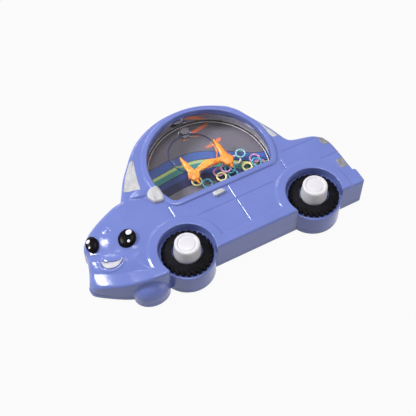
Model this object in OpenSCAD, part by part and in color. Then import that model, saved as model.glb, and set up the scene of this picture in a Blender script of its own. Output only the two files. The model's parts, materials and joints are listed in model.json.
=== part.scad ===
// Handheld water game in the shape of a small smiling car.
// It lies on its back: +Z comes out of the face, +X is the tail and +Y is the roof.
// The modules draw in car coordinates, whose origin is halfway between the two wheel
// centres on the back face. place() moves them so that the centre of the whole toy is at 0, 0.

/* [Car body] */
// Distance between the two wheel centres
wheelbase = 70; // [66:0.5:76]
// Height of the face above the back
body_t = 17.2; // [16:0.1:20]
// Thickness of the shell walls
wall = 1.8; // [1.2:0.1:2.2]
// Height of the back cover's edge, where the two shells meet
split_z = 2.5; // [2:0.1:3]
// Thickness of the back cover's floor
floor_t = 1.6; // [1.2:0.1:1.9]
// How far the rear bumper reaches behind the rear wheel centre
tail_reach = 26; // [25:0.1:30]
// How far the nose reaches in front of the front wheel centre
nose_reach = 47.3; // [46:0.1:50]
// Height of the roof above the wheel centres
roof_y = 77.8; // [77:0.1:82]
// Radius of the roof's curve
roof_r = 43.8; // [43:0.1:45]
// How far the sill lies below the wheel centres
sill_y = 6.2; // [5:0.1:7]
// Height of the raised fenders, sill and bezel above the face
relief = 0.7; // [0.4:0.1:1]
// Width and depth of the door seams
seam = 0.5; // [0.3:0.05:0.8]

/* [Wheels] */
// Radius of the wheel drums
wheel_r = 13.8; // [13:0.1:14.5]
// Height of the wheel drums
wheel_z = 13; // [12.5:0.1:13.5]
// Gap between a drum and the arch above it
arch_gap = 0.15; // [0.1:0.05:0.4]
// Width of the fender round an arch
fender_w = 5.15; // [4:0.05:5.5]
// Radius of a tyre over its teeth
tyre_r = 12.6; // [12:0.1:12.8]
// Depth of the tyre teeth
tooth_h = 1.3; // [0.8:0.1:1.8]
// Number of teeth on a tyre
tooth_n = 27; // [20:1:36]
// Height of the tyre at its teeth
tyre_edge_h = 1.8; // [1.4:0.1:2.2]
// Height of the tyre at the button
tyre_hub_h = 3.3; // [3:0.1:3.8]

/* [Buttons and pumps] */
// Radius of a button where it leaves the tyre
button_r = 6.9; // [6:0.1:7.5]
// Radius of a button at its top
button_top_r = 6.4; // [5.5:0.1:7]
// Height of a button's top above the face
button_proud = 5.7; // [5:0.1:7]
// How far a button travels
button_travel = 3.5; // [2.5:0.1:3.8]
// Gap between a button and its guide
button_gap = 0.15; // [0.05:0.05:0.3]
// Outer radius of the bellows
bellows_r = 8.6; // [8:0.1:9]
// Wall of the bellows
bellows_wall = 0.7; // [0.5:0.05:0.9]
// Outer radius of the water hose
hose_r = 1.7; // [1.5:0.05:1.9]
// Wall of the water hose
hose_wall = 0.6; // [0.4:0.05:0.7]

/* [Window and tank] */
// Radius of the window's round top
win_r = 31.2; // [29:0.1:31.5]
// Width of the body between the window's top and the roof
roof_rim = 4.3; // [4:0.1:4.8]
// Height of the window's flat lower edge
win_low = 26.7; // [25:0.1:28]
// Radius of the window's lower corners
win_corner = 3.2; // [2:0.1:5]
// Width of the bezel round the window
bezel_w = 3.2; // [2.5:0.1:3.5]
// Depth of the tank's clear front below the face
tank_drop = 2.6; // [2.3:0.1:3.2]
// Wall of the tank
tank_wall = 1.2; // [1:0.1:1.5]
// How far the tank reaches under the bezel
tank_lap = 1.5; // [1:0.1:1.6]
// Thickness of the picture card
card_t = 0.4; // [0.3:0.05:0.5]
// Radius of the filler plug
plug_r = 2.3; // [1.8:0.1:2.5]

/* [Pegs and rings] */
// Distance between the two spikes
peg_span = 19.8; // [17:0.1:21]
// Turn of the peg frame in the tank
peg_turn = 2; // [-4:0.5:4]
// Length of a spike above its hub
spike_len = 13.6; // [10:0.1:14.5]
// Length of the point below a hub
foot_len = 6.8; // [5:0.1:8]
// Radius of a spike at its hub
spike_r = 1.7; // [1.4:0.05:1.8]
// Outer radius of a ring
ring_r = 2.9; // [2.5:0.05:2.95]
// Radius of a ring's section
ring_wire = 0.5; // [0.4:0.05:0.5]

/* [Screws] */
// Radius of a screw's shank
screw_r = 1.0; // [0.8:0.05:1.2]
// Radius of a screw's head
screw_head_r = 2.1; // [1.8:0.05:2.3]
// Length of a screw under its head
screw_len = 7; // [6:0.1:8]

/* [Hidden] */
// Rings: place at rest from the window's centre, layer above the tank's floor and colour
ring_at = [[-8.8, -3.8, 0, 0], [3.5, -3.8, 0, 2], [9.4, -8.2, 0, 1], [18.3, -7.3, 0, 0],
    [24.7, -8.8, 0, 2], [-5.0, -7.8, 1, 1], [3.3, -7.5, 1, 0], [9.3, -5.3, 1, 1],
    [17.9, -8.4, 1, 0], [23.8, -5.3, 1, 2], [7.5, -4.3, 2, 2], [14.5, -1.9, 2, 3],
    [23.3, -8.3, 2, 1], [18.3, -0.1, 3, 4]];
$fn = 96;
eps = 0.05;
fit = 0.1;

// Places that follow from the driving dimensions
front_x = -wheelbase / 2;
rear_x = wheelbase / 2;
nose_x = front_x - nose_reach;
tail_x = rear_x + tail_reach;
arch_r = wheel_r + arch_gap;
fender_r = arch_r + fender_w;
roof_x = -2.5;
win_x = -0.7;
win_y = roof_y - roof_rim - win_r;
tank_z = body_t - tank_drop;
housing_r = arch_r + 1.4;
wheel_floor_t = 1.6;
guide_wall = 1.3;
guide_z = wheel_z + 2;
flange_t = 1.3;
flange_z = wheel_z - wheel_floor_t - flange_t - fit;
bellows_solid = 2.5;
pump_z = flange_z - button_travel - bellows_solid;
pump_base_h = pump_z - floor_t;
button_z = body_t + button_proud;
rib_h = 0.8;
bezel_h = 1.0;
pane_depth = 0.6;
card_z = floor_t + rib_h;
tank_low = card_z + card_t;
tank_floor = tank_low + tank_wall;
tank_top = tank_z - tank_wall;

// The face falls away towards the nose in four steps: place in front of the front wheel and slope
hinges = [[20, 0.20], [27, 0.10], [37, 0.12], [43, 0.30]];
function hinge_x(h) = front_x - h[0];
function fall(x, i = 0) = i == len(hinges) ? 0
    : hinges[i][1] * max(0, hinge_x(hinges[i]) - x) + fall(x, i + 1);
function face_z(x) = body_t - fall(x);

// A smooth curve through points of any size, with n steps to each span
function span(a, b, c, d, t) = 0.5 * (2 * b + (c - a) * t + (2 * a - 5 * b + 4 * c - d) * t * t
    + (3 * b - a - 3 * c + d) * t * t * t);
function curve(p, n) = [for (i = [0:len(p) - 2], k = [0:n - 1])
    span(p[max(0, i - 1)], p[i], p[i + 1], p[min(len(p) - 1, i + 2)], k / n)];
function closed_curve(p, n) = let (m = len(p)) [for (i = [0:m - 1], k = [0:n - 1])
    span(p[(i + m - 1) % m], p[i], p[(i + 1) % m], p[(i + 2) % m], k / n)];
function arc(x, y, r, a0, a1, n) = [for (k = [0:n])
    [x + r * cos(a0 + (a1 - a0) * k / n), y + r * sin(a0 + (a1 - a0) * k / n)]];
function flat(p) = [for (q = p) [q[0], q[1]]];

// Outline of the car from the nose corner along the bumper and sill, round the tail and over the
// roof. The third number of each point is the radius of the shoulder there. Points of the nose are
// drawn for one reach and follow the real one.
drawn_nose = 47.3;
bumper_line = [for (q = [[-47.3, 10.4, 1.8], [-46.9, 7.6, 1.5], [-44.3, 5.0, 1.2], [-39, 1.3, 1.2],
    [-34, -1.8, 1.2], [-29, -4.2, 1.2], [-24, -6.1, 1.2], [-19, -7.3, 1.2], [-14, -7.6, 1.2]])
    [front_x + q[0] * nose_reach / drawn_nose, q[1], q[2]]];
tail_line = [for (q = [[-1.6, 3.0, 1.0], [-1.5, 8, 1.8], [-1.4, 15, 2.2], [-1.8, 22.5, 2.5],
    [-3.3, 27.1, 3.0], [-6.3, 30.4, 3.2], [-9.8, 32.0, 3.2], [-15.4, 33.2, 3.0], [-19, 34.2, 2.6],
    [-20.8, 36.2, 2.4]]) [tail_x + q[0], q[1], q[2]]];
// Above the belt line, heights follow the roof
belt_y = 39;
drawn_roof_y = 77.8;
function lift(y) = y < belt_y ? y : belt_y + (y - belt_y) * (roof_y - belt_y) / (drawn_roof_y - belt_y);
pillar_line = [for (q = [[22.0, 39.5, 2.4], [24.1, 45.6, 2.4], [26.9, 51.8, 2.4],
    [30.3, 58.8, 2.2], [32.8, 64.0, 2.0]]) [tail_x - q[0], lift(q[1]), q[2]]];
roof_line = [for (q = arc(roof_x, roof_y - roof_r, roof_r, 52, 130, 15)) [q[0], q[1], 1.9]];
screen_line = [for (q = [[-35.2, 62.9, 2.0], [-39.2, 58.0, 2.2], [-44.2, 51.7, 2.4],
    [-48.2, 44.9, 2.4], [-50.9, 40.3, 2.6]]) [q[0], lift(q[1]), q[2]]];
hood_line = [for (q = [[-16, 39.9, 3.4], [-20, 39.5, 3.6], [-24.5, 38.5, 3.8], [-29.3, 36.9, 3.8],
    [-34, 34.9, 3.6], [-37.8, 32.7, 3.4], [-40.7, 29.9, 3.0], [-42.1, 26.9, 2.8],
    [-42.0, 24.2, 2.4], [-43, 20, 2.4], [-44.6, 15.6, 2.4], [-46.2, 12.6, 2.2]])
    [front_x + q[0] * nose_reach / drawn_nose, q[1], q[2]]];
outline = concat(
    curve(bumper_line, 3),
    [[front_x - 12, -sill_y, 1.2], [rear_x + 10, -sill_y, 1.2]],
    [for (q = arc(tail_x - 1.5, -sill_y + 1.5, 1.5, -80, 0, 3)) [q[0], q[1], 1.1]],
    [[tail_x, 1.8, 1.1], [tail_x - 0.6, 2.8, 1.0]],
    curve(tail_line, 2),
    curve(concat(pillar_line, [roof_line[0]]), 2),
    roof_line,
    curve(screen_line, 2),
    curve(hood_line, 3));
outline_n = len(outline);

// Unit normals that point into a closed loop drawn anticlockwise
function unit(v) = v / norm(v);
function inward(p) = let (n = len(p)) [for (i = [0:n - 1])
    let (a = unit([p[i][0], p[i][1]] - [p[(i + n - 1) % n][0], p[(i + n - 1) % n][1]]),
         b = unit([p[(i + 1) % n][0], p[(i + 1) % n][1]] - [p[i][0], p[i][1]]),
         t = unit(a + b)) [-t[1], t[0]]];
function inset(p, d) = let (m = inward(p)) [for (i = [0:len(p) - 1])
    [p[i][0], p[i][1]] + m[i] * (is_num(d) ? d : d[i])];

// A closed solid through rings of equal length. Its ends are fans of triangles round a point that
// sees their whole edge. tops splits the last ring into flat faces, each with its own point.
function total(p, i = 0) = i == len(p) - 1 ? p[i] : p[i] + total(p, i + 1);
function middle(p) = total(p) / len(p);
module loft(rings, low = undef, tops = undef, hubs = undef) {
    n = len(rings[0]);
    m = len(rings) - 1;
    first = n * (m + 1);
    sides = [for (j = [0:m - 1], i = [0:n - 1])
        [j * n + i, (j + 1) * n + i, (j + 1) * n + (i + 1) % n, j * n + (i + 1) % n]];
    bottom = [for (i = [0:n - 1]) [i, (i + 1) % n, first]];
    faces = tops == undef ? [[for (i = [n - 1:-1:0]) i]] : tops;
    upper = [for (k = [0:len(faces) - 1], i = [0:len(faces[k]) - 1])
        [m * n + faces[k][i], m * n + faces[k][(i + 1) % len(faces[k])], first + 1 + k]];
    polyhedron(concat([for (r = rings) each r], [low == undef ? middle(rings[0]) : low],
        hubs == undef ? [middle(rings[m])] : hubs), concat(sides, bottom, upper), convexity = 6);
}
// A flat pad with rounded upper edges: its outline, its base and top, and the edge radius
module pad(p, z0, z1, r) {
    steps = [0, 35, 65, 90];
    loft(concat([[for (q = p) [q[0], q[1], z0]]],
        [for (a = steps) [for (q = inset(p, r * (1 - cos(a)))) [q[0], q[1], z1 - r + r * sin(a)]]]));
}

// The moulded outside of the body, down to z0
shoulder = [for (q = outline) q[2]];
crown = inset(outline, shoulder);
function nearest(x, i, last, best) = i > last ? best
    : nearest(x, i + 1, last, abs(crown[i][0] - x) < abs(crown[best][0] - x) ? i : best);
half = floor(outline_n / 2);
hinge_low = [for (h = hinges) nearest(hinge_x(h), 0, half, 0)];
hinge_up = [for (h = hinges) nearest(hinge_x(h), half, outline_n - 1, half)];
function beyond(q, j) = let (u = crown[hinge_up[j]], l = crown[hinge_low[j]], d = unit(u - l))
    max(0, -(q[0] - l[0]) * d[1] + (q[1] - l[1]) * d[0]);
function skin_fall(q, j = 0) = j == len(hinges) ? 0
    : hinges[j][1] * beyond(q, j) + skin_fall(q, j + 1);
function skin_ring(a) = let (p = inset(outline, [for (s = shoulder) s * (1 - cos(a))]))
    [for (i = [0:outline_n - 1])
        [p[i][0], p[i][1], body_t - skin_fall(p[i]) - shoulder[i] * (1 - sin(a))]];
function run(a, b) = [for (i = [b:-1:a]) i];
skin_faces = concat(
    [run(hinge_low[0], hinge_up[0])],
    [for (j = [0:len(hinges) - 2])
        concat(run(hinge_up[j], hinge_up[j + 1]), run(hinge_low[j + 1], hinge_low[j]))],
    [concat(run(hinge_up[3], outline_n - 1), run(0, hinge_low[3]))]);
skin_hub = [front_x + 15, 16];
module skin(z0) {
    hubs = [for (k = [0:len(skin_faces) - 1])
        k == 0 ? skin_hub : middle([for (i = skin_faces[k]) crown[i]])];
    loft(concat([[for (q = outline) [q[0], q[1], z0]]], [for (a = [0, 25, 50, 70, 90]) skin_ring(a)]),
        [skin_hub[0], skin_hub[1], z0], skin_faces,
        [for (h = hubs) [h[0], h[1], body_t - skin_fall(h)]]);
}
// A block whose top follows the face at a given height above it
module face_slab(up) {
    xs = concat([for (h = hinges) hinge_x(h)], [nose_x - 5]);
    rotate([90, 0, 0]) translate([0, 0, -roof_y - 5]) linear_extrude(roof_y + wheel_r + 20)
        polygon(concat([[tail_x + 5, -5], [tail_x + 5, body_t + up]],
            [for (x = xs) [x, face_z(x) + up]], [[nose_x - 5, -5]]));
}

// Outline of the window, moved out by d
function win_loop(d) = let (
    r = win_r + d, c = win_corner + d, low = win_low - d,
    dy = win_y - low - c, dx = sqrt((r - c) * (r - c) - dy * dy), a = atan2(dy, dx))
    concat(arc(win_x, win_y, r, -a, 180 + a, 72),
        arc(win_x - dx, low + c, c, 180 + a, 270, 6),
        arc(win_x + dx, low + c, c, 270, 360 - a, 6));
function win_ring(d) = let (p = win_loop(d)) [for (i = [0:len(p) - 2]) p[i]];
module window(d) {
    polygon(win_ring(d));
}

module place() {
    translate([-(nose_x + tail_x) / 2, -(roof_y - wheel_r) / 2, 0]) children();
}
module at_wheels() {
    for (x = [front_x, rear_x]) translate([x, 0, 0]) children();
}

// Round bulge under the front bumper
bulge = [front_x - 21.2, -4.2];
bulge_rx = 9.2;
bulge_ry = 7.4;
bulge_h = 7.6;
module bulge_dome(z0) {
    steps = [0, 30, 50, 68, 80];
    rings = [for (a = concat([-1], steps)) let (s = a < 0 ? 1 : cos(a))
        [for (k = [0:29]) [bulge[0] + bulge_rx * s * cos(12 * k),
            bulge[1] + bulge_ry * s * sin(12 * k), a < 0 ? z0 : wheel_z - bulge_h * (1 - sin(a))]]];
    loft(rings);
}
module wheel_drums(r, z0, z1) {
    at_wheels() translate([0, 0, z0]) cylinder(r = r, h = z1 - z0);
}

// Screws that hold the back cover
screw_at = [[front_x - 32, 19], [-42.5, 35], [0, 7], [46, 26.5], [tail_x - 6.2, -0.6]];
post_r = 2.9;
head_h = 1.2;
head_seat = 1.5;
module at_screws() {
    for (s = screw_at) translate([s[0], s[1], 0]) children();
}

// Raised details of the face
function on_nose(x) = front_x - x * nose_reach / drawn_nose;
mouth_x = on_nose(33.2);
mouth_y = 12.2;
mouth = concat(curve([[-4.9, 3.6], [-5.2, 1.2], [-4.2, -0.9], [-2.6, -2.4], [0.1, -3.4], [2.6, -3.1],
    [5.6, -1.6]], 3), curve([[5.6, -1.6], [2.0, -1.1], [-1.0, 0.1], [-3.2, 1.9], [-4.9, 3.6]], 2));
// The muzzle lies between the valley under the eyes and the band of the bumper
muzzle = concat(curve([[-45.2, 14.9], [-43.4, 18.6], [-40.2, 21.0], [-34.1, 18.6], [-30.4, 16.2],
    [-26.7, 13.8], [-23, 11.5], [-18, 10.0]], 3),
    curve([[-18, -1.0], [-19.7, -1.2], [-23.7, 0.5], [-27.5, 2.4], [-33.3, 5.2], [-37.7, 8.0],
    [-42.6, 12.2], [-45.2, 14.9]], 3));
module muzzle_block() {
    linear_extrude(body_t + 5) intersection() {
        translate([front_x, 0]) polygon(muzzle);
        offset(delta = -0.3) polygon(flat(outline));
    }
}
lip_w = 1.1;
lip_up = 0.5;
sill_top = -0.3;
sill_low_z = 10;
handle_up = 1.5;
mirror_up = 1.9;
lamp_up = 0.25;
handle = [[-2.7, 20.4], [-4.6, 22.7], [-9.5, 22.6], [-9.5, 19.9]];
mirror = [[-31.6, 30.6], [-31.4, 38.6], [-35.2, 38.9], [-37.6, 37.4], [-38.5, 34.6], [-37.4, 31.5],
    [-36.2, 30.4]];
screen_pane = [for (q = [[-39.9, 41.0], [-38.6, 46.4], [-36.8, 52.0], [-34.6, 59.6], [-37.4, 58.4],
    [-42.6, 51.9], [-46.9, 44.6], [-47.2, 43.4]]) [q[0], lift(q[1])]];
rear_pane = [for (q = [[23.6, 38.6], [28.6, 52.4], [31.2, 53.2], [26.4, 38.8]])
    [tail_x - q[0], lift(q[1])]];
lamp_top = [[tail_x - 3.0, 22.4], [tail_x - 4.4, 26.6], [tail_x - 6.6, 28.2], [tail_x - 6.9, 24],
    [tail_x - 5.6, 22.0]];
lamp_low = [[tail_x - 2.6, 5.8], [tail_x - 2.6, 11.4], [tail_x - 6.4, 11.6], [tail_x - 6.6, 5.8]];

inner_eye_at = [on_nose(22.3), 18.9];
outer_eye_at = [on_nose(37.6), 26.0];

// The raised band round an arch, and its ends below the wheel centre
module fender(x) {
    z = body_t + relief;
    translate([x, 0, 0]) rotate_extrude(angle = 180) polygon([[arch_r - 1, wheel_z - 1],
        [fender_r, wheel_z - 1], [fender_r, z - 0.6], [fender_r - 0.3, z - 0.2], [fender_r - 1, z],
        [arch_r + 0.6, z], [arch_r, z - 0.5], [arch_r - 1, z - 0.5]]);
    for (s = [-1, 1]) translate([x + s * (arch_r + fender_r - 1) / 2, -wheel_r / 2, (wheel_z - 1 + z) / 2])
        cube([fender_w + 1, wheel_r + eps, z - wheel_z + 1], center = true);
}
module raised_skin() {
    translate([0, 0, relief]) skin(split_z + 1);
}
// The bezel round the window: rounded outside, and cut later by the window
bezel_round = 1.4;
bezel_root = 1.5;
window_edge_r = 0.6;
module bezel() {
    steps = concat([[bezel_w, -bezel_root]], [for (a = [10:20:90])
        [bezel_w - bezel_round * (1 - cos(a)), bezel_h * sin(a)]]);
    loft([for (q = steps) [for (p = win_ring(q[0])) [p[0], p[1], body_t + q[1]]]]);
}
module window_cut() {
    top = body_t + bezel_h;
    steps = concat([[0, split_z]], [for (a = [0:30:90])
        [window_edge_r * (1 - cos(a)), top - window_edge_r * (1 - sin(a))]],
        [[window_edge_r, top + 5]]);
    loft([for (q = steps) [for (p = win_ring(q[0])) [p[0], p[1], q[1]]]]);
}

module front_shell_body() {
    skin(split_z);
    wheel_drums(wheel_r, split_z, wheel_z);
    bulge_dome(split_z);
    intersection() {
        union() {
            fender(front_x);
            fender(rear_x);
            muzzle_block();
        }
        raised_skin();
    }
    // sill between the wheels
    translate([front_x + fender_r - eps, 0, 0]) rotate([90, 0, 90])
        linear_extrude(wheelbase - 2 * fender_r + 2 * eps)
        polygon([[-sill_y, sill_low_z], [sill_top, sill_low_z], [sill_top, body_t],
            [sill_top - relief, body_t + relief], [relief - sill_y, body_t + relief],
            [-sill_y, body_t - 0.3]]);
    bezel();
    intersection() {
        translate([mouth_x, mouth_y, 5]) linear_extrude(body_t) offset(r = lip_w, $fn = 24) polygon(mouth);
        face_slab(relief + lip_up);
    }
    pad(handle, body_t - 1, body_t + handle_up, 0.6);
    pad(closed_curve(mirror, 2), body_t - 1.4, body_t + mirror_up, 1.4);
    pad(lamp_top, body_t - 3, body_t + lamp_up, 0.4);
    pad(lamp_low, body_t - 3, body_t + lamp_up, 0.4);
}
bulge_hollow_h = 4.5;
module cavity() {
    difference() {
        union() {
            intersection() {
                translate([0, 0, split_z - 1]) linear_extrude(body_t)
                    offset(delta = -wall) polygon(flat(outline));
                face_slab(-wall);
            }
            wheel_drums(wheel_r - wall, split_z - 1, wheel_z - wheel_floor_t);
            translate([0, 0, split_z - 1]) linear_extrude(lip_z - split_z + 1.2)
                offset(delta = -wall) cover_plan();
            translate([bulge[0], bulge[1], split_z - 1]) linear_extrude(bulge_hollow_h + 1)
                scale([(bulge_rx - wall) / (bulge_ry - wall), 1]) circle(r = bulge_ry - wall);
        }
        // wheel housings, the rim behind the bezel and the screw posts stay
        wheel_drums(housing_r, wheel_z - wheel_floor_t, body_t + 2);
        translate([0, 0, tank_z]) linear_extrude(body_t) window(tank_lap + fit);
        for (s = screw_at) translate([s[0], s[1], split_z])
            cylinder(r = post_r, h = body_t);
    }
}
module seam_line(x, y0, y1) {
    translate([x - seam / 2, y0, body_t - seam]) cube([seam, y1 - y0, 2]);
}
module front_shell() {
    place() color([0.49, 0.54, 0.84]) difference() {
        front_shell_body();
        cavity();
        window_cut();
        wheel_drums(arch_r, wheel_z, body_t + 5);
        at_wheels() cylinder(r = button_r + button_gap, h = body_t + 5);
        at_screws() translate([0, 0, split_z - 1]) cylinder(r = screw_r + 0.02, h = screw_len + 1);
        // mouth, panes and door seams
        intersection() {
            translate([mouth_x, mouth_y, 5]) linear_extrude(body_t + 5) polygon(mouth);
            difference() {
                face_slab(5);
                face_slab(relief - 0.2);
            }
        }
        for (p = [screen_pane, rear_pane]) translate([0, 0, body_t - pane_depth])
            linear_extrude(3) polygon(p);
        seam_line(-0.6, 15.6, win_low - bezel_w);
        seam_line(-0.6, -0.2, 13.8);
        seam_line(front_x + 3, fender_r - 0.6, win_low - 1);
        seam_line(rear_x - 4.7, fender_r - 1, win_low - 2);
        for (x = [[-21.5, -1.3], [0.1, 21]]) translate([x[0], 14.4, body_t - seam])
            cube([x[1] - x[0], seam, 2]);
        translate([tail_x - 27, 28.4, body_t - seam]) cube([19, seam, 2]);
        translate([tail_x - 12, 15.4, body_t - seam]) cube([14, seam, 2]);
        eye_seats();
    }
    place() color([0.49, 0.54, 0.84]) at_wheels() difference() {
        translate([0, 0, wheel_z - eps])
            cylinder(r = button_r + button_gap + guide_wall, h = guide_z - wheel_z + eps);
        cylinder(r = button_r + button_gap, h = body_t + 5);
    }
}

// A plug-in eye: a shallow black dome on a shank. Each has a place, two half widths and a turn.
eye_dome_r = 9;
eye_dome_h = 1.7;
shank_r = 1.5;
shank_len = 4.5;
eye_up = 0.35;
lean = -atan(hinges[0][1] + hinges[1][1]);
inner_eye_form = [inner_eye_at, 4.3, 4.8, -28];
outer_eye_form = [outer_eye_at, 3.1, 4.3, -6];
module at_eye(e) {
    translate([e[0][0], e[0][1], face_z(e[0][0]) + eye_up]) rotate([0, lean, 0]) rotate([0, 0, e[3]])
        children();
}
module eye_plan(e, more) {
    scale([(e[1] + more) / (e[2] + more), 1]) circle(r = e[2] + more);
}
module eye(e) {
    place() color([0.05, 0.05, 0.06]) at_eye(e) {
        intersection() {
            linear_extrude(3) eye_plan(e, 0);
            translate([0, 0, eye_dome_h - eye_dome_r]) sphere(r = eye_dome_r);
        }
        translate([0, 0, -shank_len]) cylinder(r = shank_r, h = shank_len + eps);
    }
}
// A hole for the shank, and a shallow seat for the dome
module eye_seats() {
    for (e = [inner_eye_form, outer_eye_form]) at_eye(e) {
        translate([0, 0, -shank_len - 2]) cylinder(r = shank_r + fit, h = shank_len + 3);
        linear_extrude(3) eye_plan(e, fit);
    }
}
module inner_eye() eye(inner_eye_form);
module outer_eye() eye(outer_eye_form);

module cover_plan() {
    polygon(flat(outline));
    for (x = [front_x, rear_x]) translate([x, 0]) circle(r = wheel_r);
    translate(bulge) scale([bulge_rx / bulge_ry, 1]) circle(r = bulge_ry);
}
lip_gap = 0.15;
lip_t = 1.0;
lip_z = split_z + 1.8;
rib_pitch = 22;
rib_w = 1.2;
rib_from = win_low + 4.3;
pump_r = 10.3;
locate_out = pump_r - 0.8;
locate_in = pump_r - 1.8;
locate_h = 0.8;
module back_cover() {
    place() color([0.45, 0.5, 0.8]) difference() {
        union() {
            linear_extrude(floor_t) offset(delta = -0.4) cover_plan();
            translate([0, 0, 0.4]) linear_extrude(split_z - 0.4) difference() {
                cover_plan();
                offset(delta = -wall - lip_gap - lip_t) cover_plan();
            }
            translate([0, 0, split_z - eps]) linear_extrude(lip_z - split_z + eps) difference() {
                offset(delta = -wall - lip_gap) cover_plan();
                offset(delta = -wall - lip_gap - lip_t) cover_plan();
                for (s = screw_at) translate([s[0], s[1]]) circle(r = post_r + 0.3);
                window(tank_lap + lip_gap);
            }
            at_screws() cylinder(r = post_r, h = split_z);
            // ribs under the picture card
            for (k = [-1:1]) translate([win_x + k * rib_pitch - rib_w / 2, rib_from, floor_t - eps])
                cube([rib_w, win_r, rib_h + eps]);
            // rings that locate the pump bases
            at_wheels() translate([0, 0, floor_t - eps]) difference() {
                cylinder(r = locate_out, h = locate_h + eps);
                translate([0, 0, -1]) cylinder(r = locate_in, h = locate_h + 2);
            }
        }
        at_screws() {
            translate([0, 0, -1]) cylinder(r = screw_head_r + 0.3, h = head_seat + 1);
            translate([0, 0, -1]) cylinder(r = screw_r + 0.25, h = split_z + 3);
        }
        at_plug(plug_r + plug_wall + fit, -1, floor_t + 1);
    }
}
module screws() {
    place() color([0.72, 0.72, 0.74]) at_screws() {
        difference() {
            translate([0, 0, head_seat - head_h]) cylinder(r = screw_head_r, h = head_h);
            for (a = [0, 90]) rotate([0, 0, a]) translate([-1.1, -0.25, 0]) cube([2.2, 0.5, 0.8]);
        }
        translate([0, 0, head_seat - eps]) cylinder(r = screw_r, h = screw_len + eps);
    }
}

// The clear tank, with an inlet from each pump
inlet_x = 19;
inlet_r = hose_r - hose_wall;
hose_z = tank_floor + 0.1 + hose_r;
spigot_len = 5;
boss_h = 1.0;
boss_r = 1.9;
pin_r = 1.0;
peg_z = tank_top - boss_h - spike_r - fit;
peg_at = [win_x, win_y - 0.8];
module at_hubs(z) {
    translate([peg_at[0], peg_at[1], z]) rotate([0, 0, peg_turn])
        for (s = [-1, 1]) translate([s * peg_span / 2, 0, 0]) children();
}
// Direction from a wheel centre to its inlet in the tank's lower wall
function inlet_at(x) = [win_x + (x < 0 ? -inlet_x : inlet_x), win_low - tank_lap];
function hose_len(x) = norm(inlet_at(x) - [x, 0]);
function hose_turn(x) = atan2(inlet_at(x)[1], inlet_at(x)[0] - x);
module along_hose(x, a, b) {
    translate([x, 0, hose_z]) rotate([0, 0, hose_turn(x)]) translate([a, 0, 0])
        rotate([0, 90, 0]) cylinder(r = $r, h = b - a);
}
module tank_front() {
    place() color([0.85, 0.92, 0.95, 0.35]) difference() {
        union() {
            translate([0, 0, tank_floor]) linear_extrude(tank_z - tank_floor) window(tank_lap);
            for (x = [front_x, rear_x])
                along_hose(x, hose_len(x) - spigot_len, hose_len(x) + 1, $r = inlet_r);
        }
        difference() {
            translate([0, 0, tank_floor - 1]) linear_extrude(tank_top - tank_floor + 1)
                window(tank_lap - tank_wall);
            at_hubs(tank_top - boss_h) cylinder(r = boss_r, h = boss_h + 1);
        }
        at_hubs(tank_top - boss_h - 1) cylinder(r = pin_r + fit / 2, h = boss_h + 1);
        for (x = [front_x, rear_x])
            along_hose(x, hose_len(x) - spigot_len - 1, hose_len(x) + 4, $r = inlet_r - 0.5);
    }
}
// The filler hole is a tube on the tank's back wall. Its plug is pushed in from behind.
plug_at = [win_x + 0.5, win_y + win_r - plug_r - 0.9];
plug_wall = 1.0;
plug_seat = 0.8;
plug_top = 1.0;
module at_plug(r, z0, z1) {
    translate([plug_at[0], plug_at[1], z0]) cylinder(r = r, h = z1 - z0);
}
module tank_back() {
    place() color([0.85, 0.92, 0.95, 0.35]) difference() {
        union() {
            translate([0, 0, tank_low]) linear_extrude(tank_wall) window(tank_lap);
            at_plug(plug_r + plug_wall, plug_seat, tank_low + eps);
        }
        at_plug(plug_r + fit / 2, 0, tank_floor + 1);
    }
}
module filler_plug() {
    place() color([0.9, 0.9, 0.92]) {
        at_plug(plug_r + plug_wall - 0.2, fit, plug_seat);
        at_plug(plug_r, plug_seat - eps, tank_floor + plug_top);
    }
}
module picture_card() {
    place() color([0.45, 0.45, 0.5]) difference() {
        translate([0, 0, card_z]) linear_extrude(card_t) window(tank_lap - 0.5);
        at_plug(plug_r + plug_wall + fit, 0, tank_low + 1);
    }
}

// Two spikes on a bar with a bump at its middle. The spikes lean out a little from lobed hubs.
spike_lean = 1.5;
hub_r = 2.8;
hub_lobe = 0.45;
hub_low = -1.4;
hub_half_t = 1.4;
bar_half_t = 1.1;
bar_line = [[-0.5, -0.9, 1.1], [-0.33, 0.3, 1.4], [-0.17, 1.1, 1.9], [0, 1.4, 2.5], [0.12, 1.2, 2.2],
    [0.24, 0.4, 1.4], [0.36, 0.5, 1.3], [0.5, 0.2, 1.2]];
module spike() {
    rotate([-90, 0, 0]) rotate_extrude() polygon([[0, -foot_len], [0.4, 0.3 - foot_len],
        [1.2, -0.55 * foot_len], [spike_r, -0.2 * foot_len], [spike_r, 0.15 * spike_len],
        [0.8 * spike_r, 0.5 * spike_len], [0.5 * spike_r, 0.8 * spike_len],
        [0.2 * spike_r, spike_len - 0.2], [0, spike_len]]);
}
hub_star = [for (k = [0:35]) let (a = 10 * k, r = hub_r + hub_lobe * cos(5 * a))
    [r * cos(a), r * sin(a) + hub_low]];
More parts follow.
